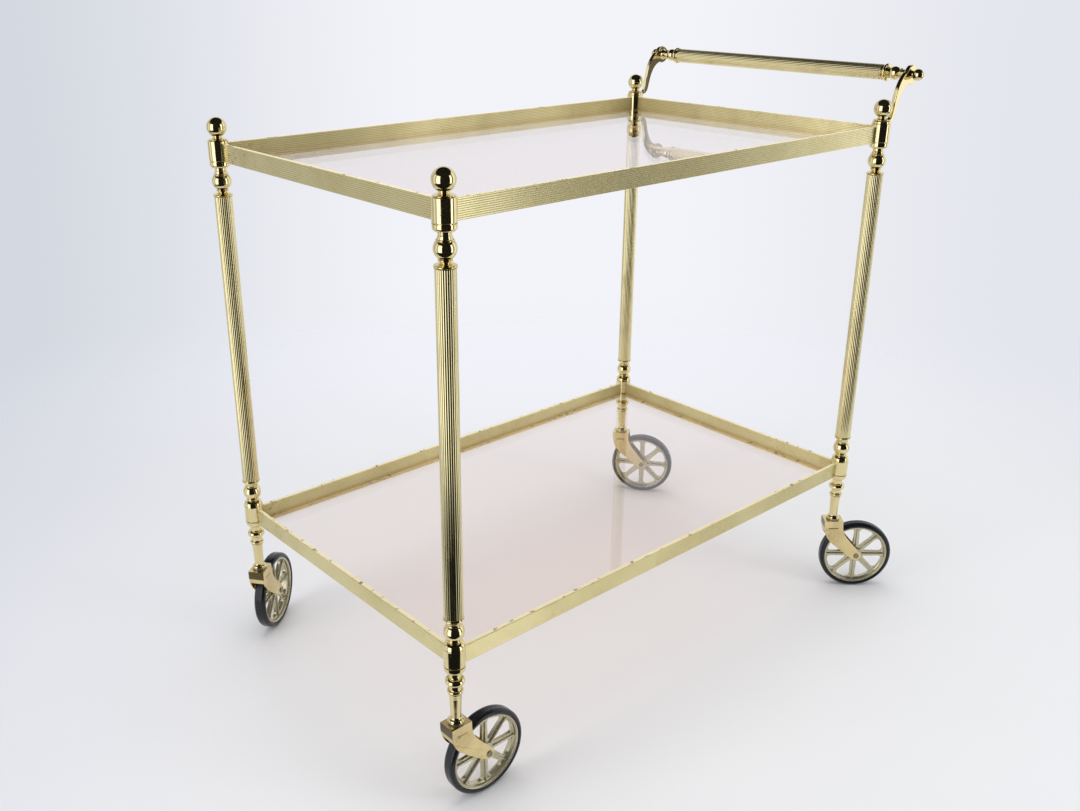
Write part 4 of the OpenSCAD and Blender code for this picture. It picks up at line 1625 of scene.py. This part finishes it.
@dataclass
class Handle:
    """The push handle: reeded grip, turned collars, cast brackets and ball nuts."""

    grip_r: float = 9.5
    reeds: int = 24
    bracket_half: float = 2.8
    foot_t: float = 3.5
    out: float = 54.0
    rise: float = 54.8
    eye_r: float = 11.8
    arm_t: float = 6.5
    neck_t: float = 19.0
    ball_r: float = 7.2
    reed_depth: float = 0.3

    @property
    def half_grip(self) -> float:
        """Half of the grip tube's length, in millimetres."""
        low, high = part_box("grip_tube")
        return (high.y - low.y) / 2 / MM

    @staticmethod
    def axis_matrix(flip: bool = False) -> Matrix:
        """Returns the grip's own frame, with Z along it to the far side, or flipped."""
        low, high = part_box("grip_tube")
        turn = Matrix.Rotation(math.pi / (2 if flip else -2), 4, "X")
        return Matrix.Translation((low + high) / 2) @ turn

    def grip(self, palette: Palette) -> None:
        """Makes the reeded grip.

        Args:
            palette: The finishes.
        """
        half = self.half_grip
        piece = Reeding(self.reeds, self.grip_r, self.reed_depth).tube("grip_reeded", -half, half)
        Bench.move(piece, self.axis_matrix())
        palette.dress(piece, "reeded_brass", "trolley", ["grip_tube"])
        piece.data.materials[0] = GRIP.material()

    def collar(self) -> Piece:
        """Makes one turned collar between the grip and a bracket.

        Returns:
            The collar.
        """
        base = self.half_grip
        ring, bead = base + 4.2, base + 17.4
        profile = [(3.0, base), (9.0, base)]
        profile += roll(9.7, base + 0.1, base + 2.0, 8)
        profile += sweep((8.2, base + 2.2), (9.4, ring - 0.3), False, 5)
        profile += roll(11.0, ring, ring + 4.0, 14)
        profile += roll(7.0, ring + 4.4, ring + 6.2, 6)
        profile += ball(bead, 8.4, 5.2, 4.8, 26)
        profile += roll(6.7, bead + 8.0, bead + 10.6, 8)
        profile += [(5.2, bead + 11.2)]
        profile += sweep((5.4, base + 30.6), (7.6, base + 35.2), False, 6)
        profile += [(7.6, base + 36.0), (3.0, base + 36.0)]
        return Bench.lathe("collar_pattern", profile, 72)

    def end_ball(self) -> Piece:
        """Makes one ball nut outside a bracket.

        Returns:
            The ball nut.
        """
        far = (Corner.FAR.axis.y - self.axis_matrix().translation.y) / MM
        base = far + self.bracket_half
        centre = base + 0.3 + self.ball_r
        profile = [(3.0, base), (4.6, base), (4.6, base + 1.4)]
        profile += ball(centre, self.ball_r, 4.5, 0.0, 26)
        return Bench.lathe("end_ball_pattern", profile, 72)

    def arm_point(self, t: float) -> Point:
        """Returns a point of the arm's middle line, from foot to eye.

        Args:
            t: How far along the arm it is, from 0 to 1.

        Returns:
            The point.
        """
        a, b = (13, self.foot_t / 2), (30, -1)
        c, d = (16, self.rise - 11.5), (self.out - 3, self.rise - 1)
        weights = ((1 - t) ** 3, 3 * (1 - t) ** 2 * t, 3 * (1 - t) * t * t, t ** 3)
        return (sum(w * p[0] for w, p in zip(weights, (a, b, c, d))),
                sum(w * p[1] for w, p in zip(weights, (a, b, c, d))))

    def arm_half(self, t: float) -> float:
        """Returns half of the arm's thickness."""
        if t < 0.25:
            return (self.foot_t + (self.arm_t - self.foot_t) * t / 0.25) / 2
        return (self.arm_t + (self.neck_t - self.arm_t) * ((t - 0.25) / 0.75) ** 2) / 2

    def arm_edge(self, t: float, side: int) -> Point:
        """Returns a point of the arm's outline, on one side of the middle line.

        Args:
            t: How far along the arm it is, from 0 to 1.
            side: 1 above the middle line, or -1 below.

        Returns:
            The point.
        """
        (px, pz), (qx, qz) = self.arm_point(t - 0.01), self.arm_point(t + 0.01)
        length = math.hypot(qx - px, qz - pz)
        x, z = self.arm_point(t)
        half = self.arm_half(t) * side
        return (x - half * (qz - pz) / length, z + half * (qx - px) / length)

    def bracket(self) -> Piece:
        """Makes one cast bracket: foot ring, swept arm and eye, with eased edges.

        Returns:
            The bracket.
        """
        stand = upright(0, self.bracket_half)
        steps, eye = 26, (self.out, self.rise)
        edges = [[self.arm_edge(i / steps, side) for i in range(steps + 1)] for side in (1, -1)]
        upper, lower = ([p for p in edge if math.dist(p, eye) > self.eye_r * 1.02]
                        for edge in edges)
        start, end = (math.degrees(math.atan2(edge[-1][1] - eye[1], edge[-1][0] - eye[0])) % 360
                      for edge in (upper, lower))
        round_eye = arc(eye, self.eye_r, start - 6, end - 360 + 6, 36)
        points = [(6, self.foot_t)] + upper + round_eye + lower[::-1] + [(6, 0.0)]
        arm = Bench.outline("bracket_pattern", points, 2 * self.bracket_half, stand)
        Bench.close(Bench.ease(arm, 1.0, 4, 55), 40.0)
        ring = Bench.lathe("bracket_foot", [(3.2, 0.0), (10.4, 0.0)] + arc(
            (9.9, 0.9), 0.9, -60, 0, 4) + arc(
            (9.9, self.foot_t - 0.9), 0.9, 0, 80, 5) + [(3.2, self.foot_t)])
        return Bench.join([arm, ring], "bracket_pattern")

    def build(self, palette: Palette) -> None:
        """Builds the handle.

        Args:
            palette: The finishes.
        """
        self.grip(palette)
        collar, ball_nut, bracket = self.collar(), self.end_ball(), self.bracket()
        for corner, flip in ((Corner.FAR, False), (Corner.RIGHT, True)):
            place = self.axis_matrix(flip)
            palette.dress(Bench.copy(collar, f"{corner.label}_collar", place), "polished_brass",
                          "trolley", ["grip_collars"])
            palette.dress(Bench.copy(ball_nut, f"{corner.label}_ball_nut", place), "polished_brass",
                          "trolley", ["end_balls"])
            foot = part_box(f"{corner.label}_bracket")[0].z
            stand = Matrix.Translation(corner.axis + Vector((0, 0, foot)))
            palette.dress(Bench.copy(bracket, f"{corner.label}_bracket_cast", stand),
                          "polished_brass", "trolley", [f"{corner.label}_bracket"])
        Bench.drop(collar, ball_nut, bracket)


# ---- Stage ---------------------------------------------------------------


@dataclass(frozen=True)
class Viewpoint:
    """The photo's camera, fitted to the trolley's corners, in metres from the legs' middle."""

    place: tuple[float, float, float] = (-0.908, -0.9465, 0.8411)
    azimuth: float = -41.0
    elevation: float = 21.87
    lens: float = 36.5
    shift: Point = (0.0269, -0.0066)

    def build(self) -> None:
        """Adds the camera and makes it the scene's."""
        middle = (Corner.NEAR.axis + Corner.FAR.axis) / 2
        bpy.ops.object.camera_add(location=middle + Vector(self.place), rotation=(
            math.radians(90 - self.elevation), 0, math.radians(self.azimuth)))
        camera = bpy.context.object
        camera.name = "photo_camera"
        camera.data.lens = self.lens
        camera.data.sensor_width = 36.0
        camera.data.shift_x, camera.data.shift_y = self.shift
        camera.data.clip_start = 0.01
        bpy.context.scene.camera = camera


@dataclass(frozen=True)
class Studio:
    """Pale floor, soft lamps and the room that metal and glass mirror.

    The room is described by the turn from the camera's side: 0.5 is towards the camera, less
    is to its left. It has a pale backdrop, dark walls and two bright windows.
    """

    floor_tone: Colour = tint(0.715, 0.725, 0.745)
    floor_edge: Colour = tint(0.63, 0.64, 0.69)
    floor_far: Colour = tint(0.80, 0.81, 0.88)
    sky_tone: Colour = tint(0.895, 0.90, 0.945)
    sky_edge: Colour = tint(0.65, 0.68, 0.74)
    fill: float = 0.72
    gain: float = 2.3
    dark: float = 0.012
    paper_edge: float = 0.52
    room: tuple[Point, ...] = (
        (0, 0.4), (0.15, 0.34), (0.18, 0.26), (0.218, 0.22), (0.236, 0.5), (0.268, 0.46),
        (0.29, 0.24), (0.318, 0.3), (0.336, 1), (0.41, 1), (0.428, 0), (0.668, 0), (0.68, 0.95),
        (0.716, 0.95), (0.732, 0.06), (0.755, 0.06), (0.765, 0.22), (0.779, 0.62), (0.8, 0.6),
        (0.83, 0.42), (1, 0.4))

    def sides(self) -> tuple[Point, Point]:
        """Returns the floor directions towards the camera and to the right of the picture."""
        view = math.radians(Viewpoint().azimuth)
        return (math.sin(view), -math.cos(view)), (math.cos(view), math.sin(view))

    def floor(self) -> None:
        """Lays the floor, darker towards the left of the view as painted shade, which fades into
        the backdrop away from the trolley.
        """
        bpy.ops.mesh.primitive_plane_add(size=14.0, location=(0, 0, 0))
        floor = bpy.context.object
        floor.name = "floor"
        sh = Shader("pale_floor")
        grain = sh.noise(6.0, 4.0, 0.5).over(0.2, 0.8)
        clear = sh.add("ShaderNodeBsdfTransparent").outputs[0]
        x, y, _ = sh.axes()
        away = (x * x + y * y) ** 0.5
        (toward_x, toward_y), (right_x, right_y) = self.sides()
        # Painted shade: the floor darkens towards the left of the view.
        left_side = (x * right_x + y * right_y).over(-0.15, -1.0)
        far_side = (0.0 - x * toward_x - y * toward_y).over(0.25, 1.3)
        near = sh.mix((left_side + grain * 0.08).clamped(), self.floor_tone, self.floor_edge)
        base = sh.mix(far_side, near, self.floor_far)
        soft = sh.principled(Base_Color=base, Roughness=0.55, Specular_IOR_Level=0.3)
        near_side = (x * toward_x + y * toward_y).over(self.paper_edge - 0.03,
                                                       self.paper_edge + 0.03)
        glossy = Signal(sh, sh.add("ShaderNodeLightPath").outputs["Is Glossy Ray"])
        fade = (away.over(0.55, 1.7) + near_side * glossy).clamped()
        mixed = sh.add("ShaderNodeMixShader", {}, {0: fade, 1: soft, 2: clear})
        floor.data.materials.append(sh.finish(mixed.outputs[0]))

    def world(self) -> None:
        """Builds the world: a backdrop for the camera, darker at its sides as painted shade, the
        room for mirrors, an even fill.
        """
        world = bpy.data.worlds.new("studio")
        bpy.context.scene.world = world
        world.use_nodes = True
        sh = Shader.__new__(Shader)
        sh.tree, sh._place = world.node_tree, {}
        sh.tree.nodes.clear()
        ray = sh.add("ShaderNodeLightPath")
        x, y, z = sh.axes(sh.add("ShaderNodeTexCoord").outputs["Generated"])
        (toward_x, toward_y), (right_x, right_y) = self.sides()
        toward, right = x * toward_x + y * toward_y, x * right_x + y * right_y
        turn = right._math("ARCTAN2", right, toward) / FULL_TURN + 0.5
        ramp = sh.add("ShaderNodeValToRGB", {
            "stops": [(place, tint(tone, tone, tone)) for place, tone in self.room]}, {0: turn})
        tone = Signal(sh, ramp.outputs[0]) * self.gain
        behind = 1.0 - toward.over(-0.35, 0.0)
        ceiling = z.over(0.44, 0.60) * (1.0 - behind) + z.over(0.60, 0.635) * behind
        below = (0.0 - z).over(0.40, 0.50) * (1.0 - behind)
        room = tone * (1.0 - ceiling) * (1.0 - below) + self.dark
        mirror = sh.add("ShaderNodeBackground", {}, {"Color": self.sky_tone, "Strength": room})
        even = sh.add("ShaderNodeBackground", {}, {"Color": tint(1, 1, 1), "Strength": self.fill})
        # Painted shade: the backdrop darkens towards both sides, more to the left.
        edge = ((0.0 - right).over(0.05, 0.45) + right.over(0.12, 0.45) * 0.5).clamped()
        seen = sh.add("ShaderNodeBackground", {}, {
            "Color": sh.mix(edge, self.sky_tone, self.sky_edge), "Strength": 1.0})
        first = sh.add("ShaderNodeMixShader", {}, {0: ray.outputs["Is Glossy Ray"],
                                                   1: even.outputs[0], 2: mirror.outputs[0]})
        second = sh.add("ShaderNodeMixShader", {}, {0: ray.outputs["Is Camera Ray"],
                                                    1: first.outputs[0], 2: seen.outputs[0]})
        sh.add("ShaderNodeOutputWorld", {}, {"Surface": second.outputs[0]})

    @staticmethod
    def lamp(name: str, place: Vector, aim: Vector, size: Point, watts: float) -> None:
        """Hangs one soft lamp.

        Args:
            name: The lamp's name.
            place: Where it hangs.
            aim: The point that it faces.
            size: Its width and height.
            watts: Its power.
        """
        bpy.ops.object.light_add(type="AREA", location=place)
        lamp = bpy.context.object
        lamp.name = name
        lamp.rotation_euler = (aim - place).to_track_quat("-Z", "Y").to_euler()
        lamp.data.shape = "RECTANGLE"
        lamp.data.size, lamp.data.size_y = size
        lamp.data.energy = watts
        lamp.visible_glossy = False

    def build(self) -> None:
        """Builds the floor, the world and the lamps."""
        self.floor()
        self.world()
        aim = Vector((0.0, 0.0, 0.4))
        self.lamp("left_softbox", Vector((-2.3, 0.3, 1.3)), aim, (0.9, 1.6), 14.0)
        self.lamp("right_softbox", Vector((0.9, -2.2, 1.3)), aim, (0.8, 1.6), 12.0)
        self.lamp("top_softbox", Vector((0.2, 0.2, 2.6)), aim, (2.2, 2.2), 32.0)


def main() -> None:
    """Builds and dresses the trolley and its stage, in order."""
    logging.basicConfig(level=logging.INFO, format="%(name)s: %(message)s")
    Viewpoint().build()
    palette = Palette()
    LegStack().build(palette)
    Caster().build(palette)
    for level in ("top", "low"):
        Tray(level).build(palette)
    Handle().build(palette)
    palette.dress_nodes()
    Studio().build()
    Bench.clear()
    bpy.context.scene.view_settings.view_transform = "Standard"


if __name__ == "__main__":
    main()
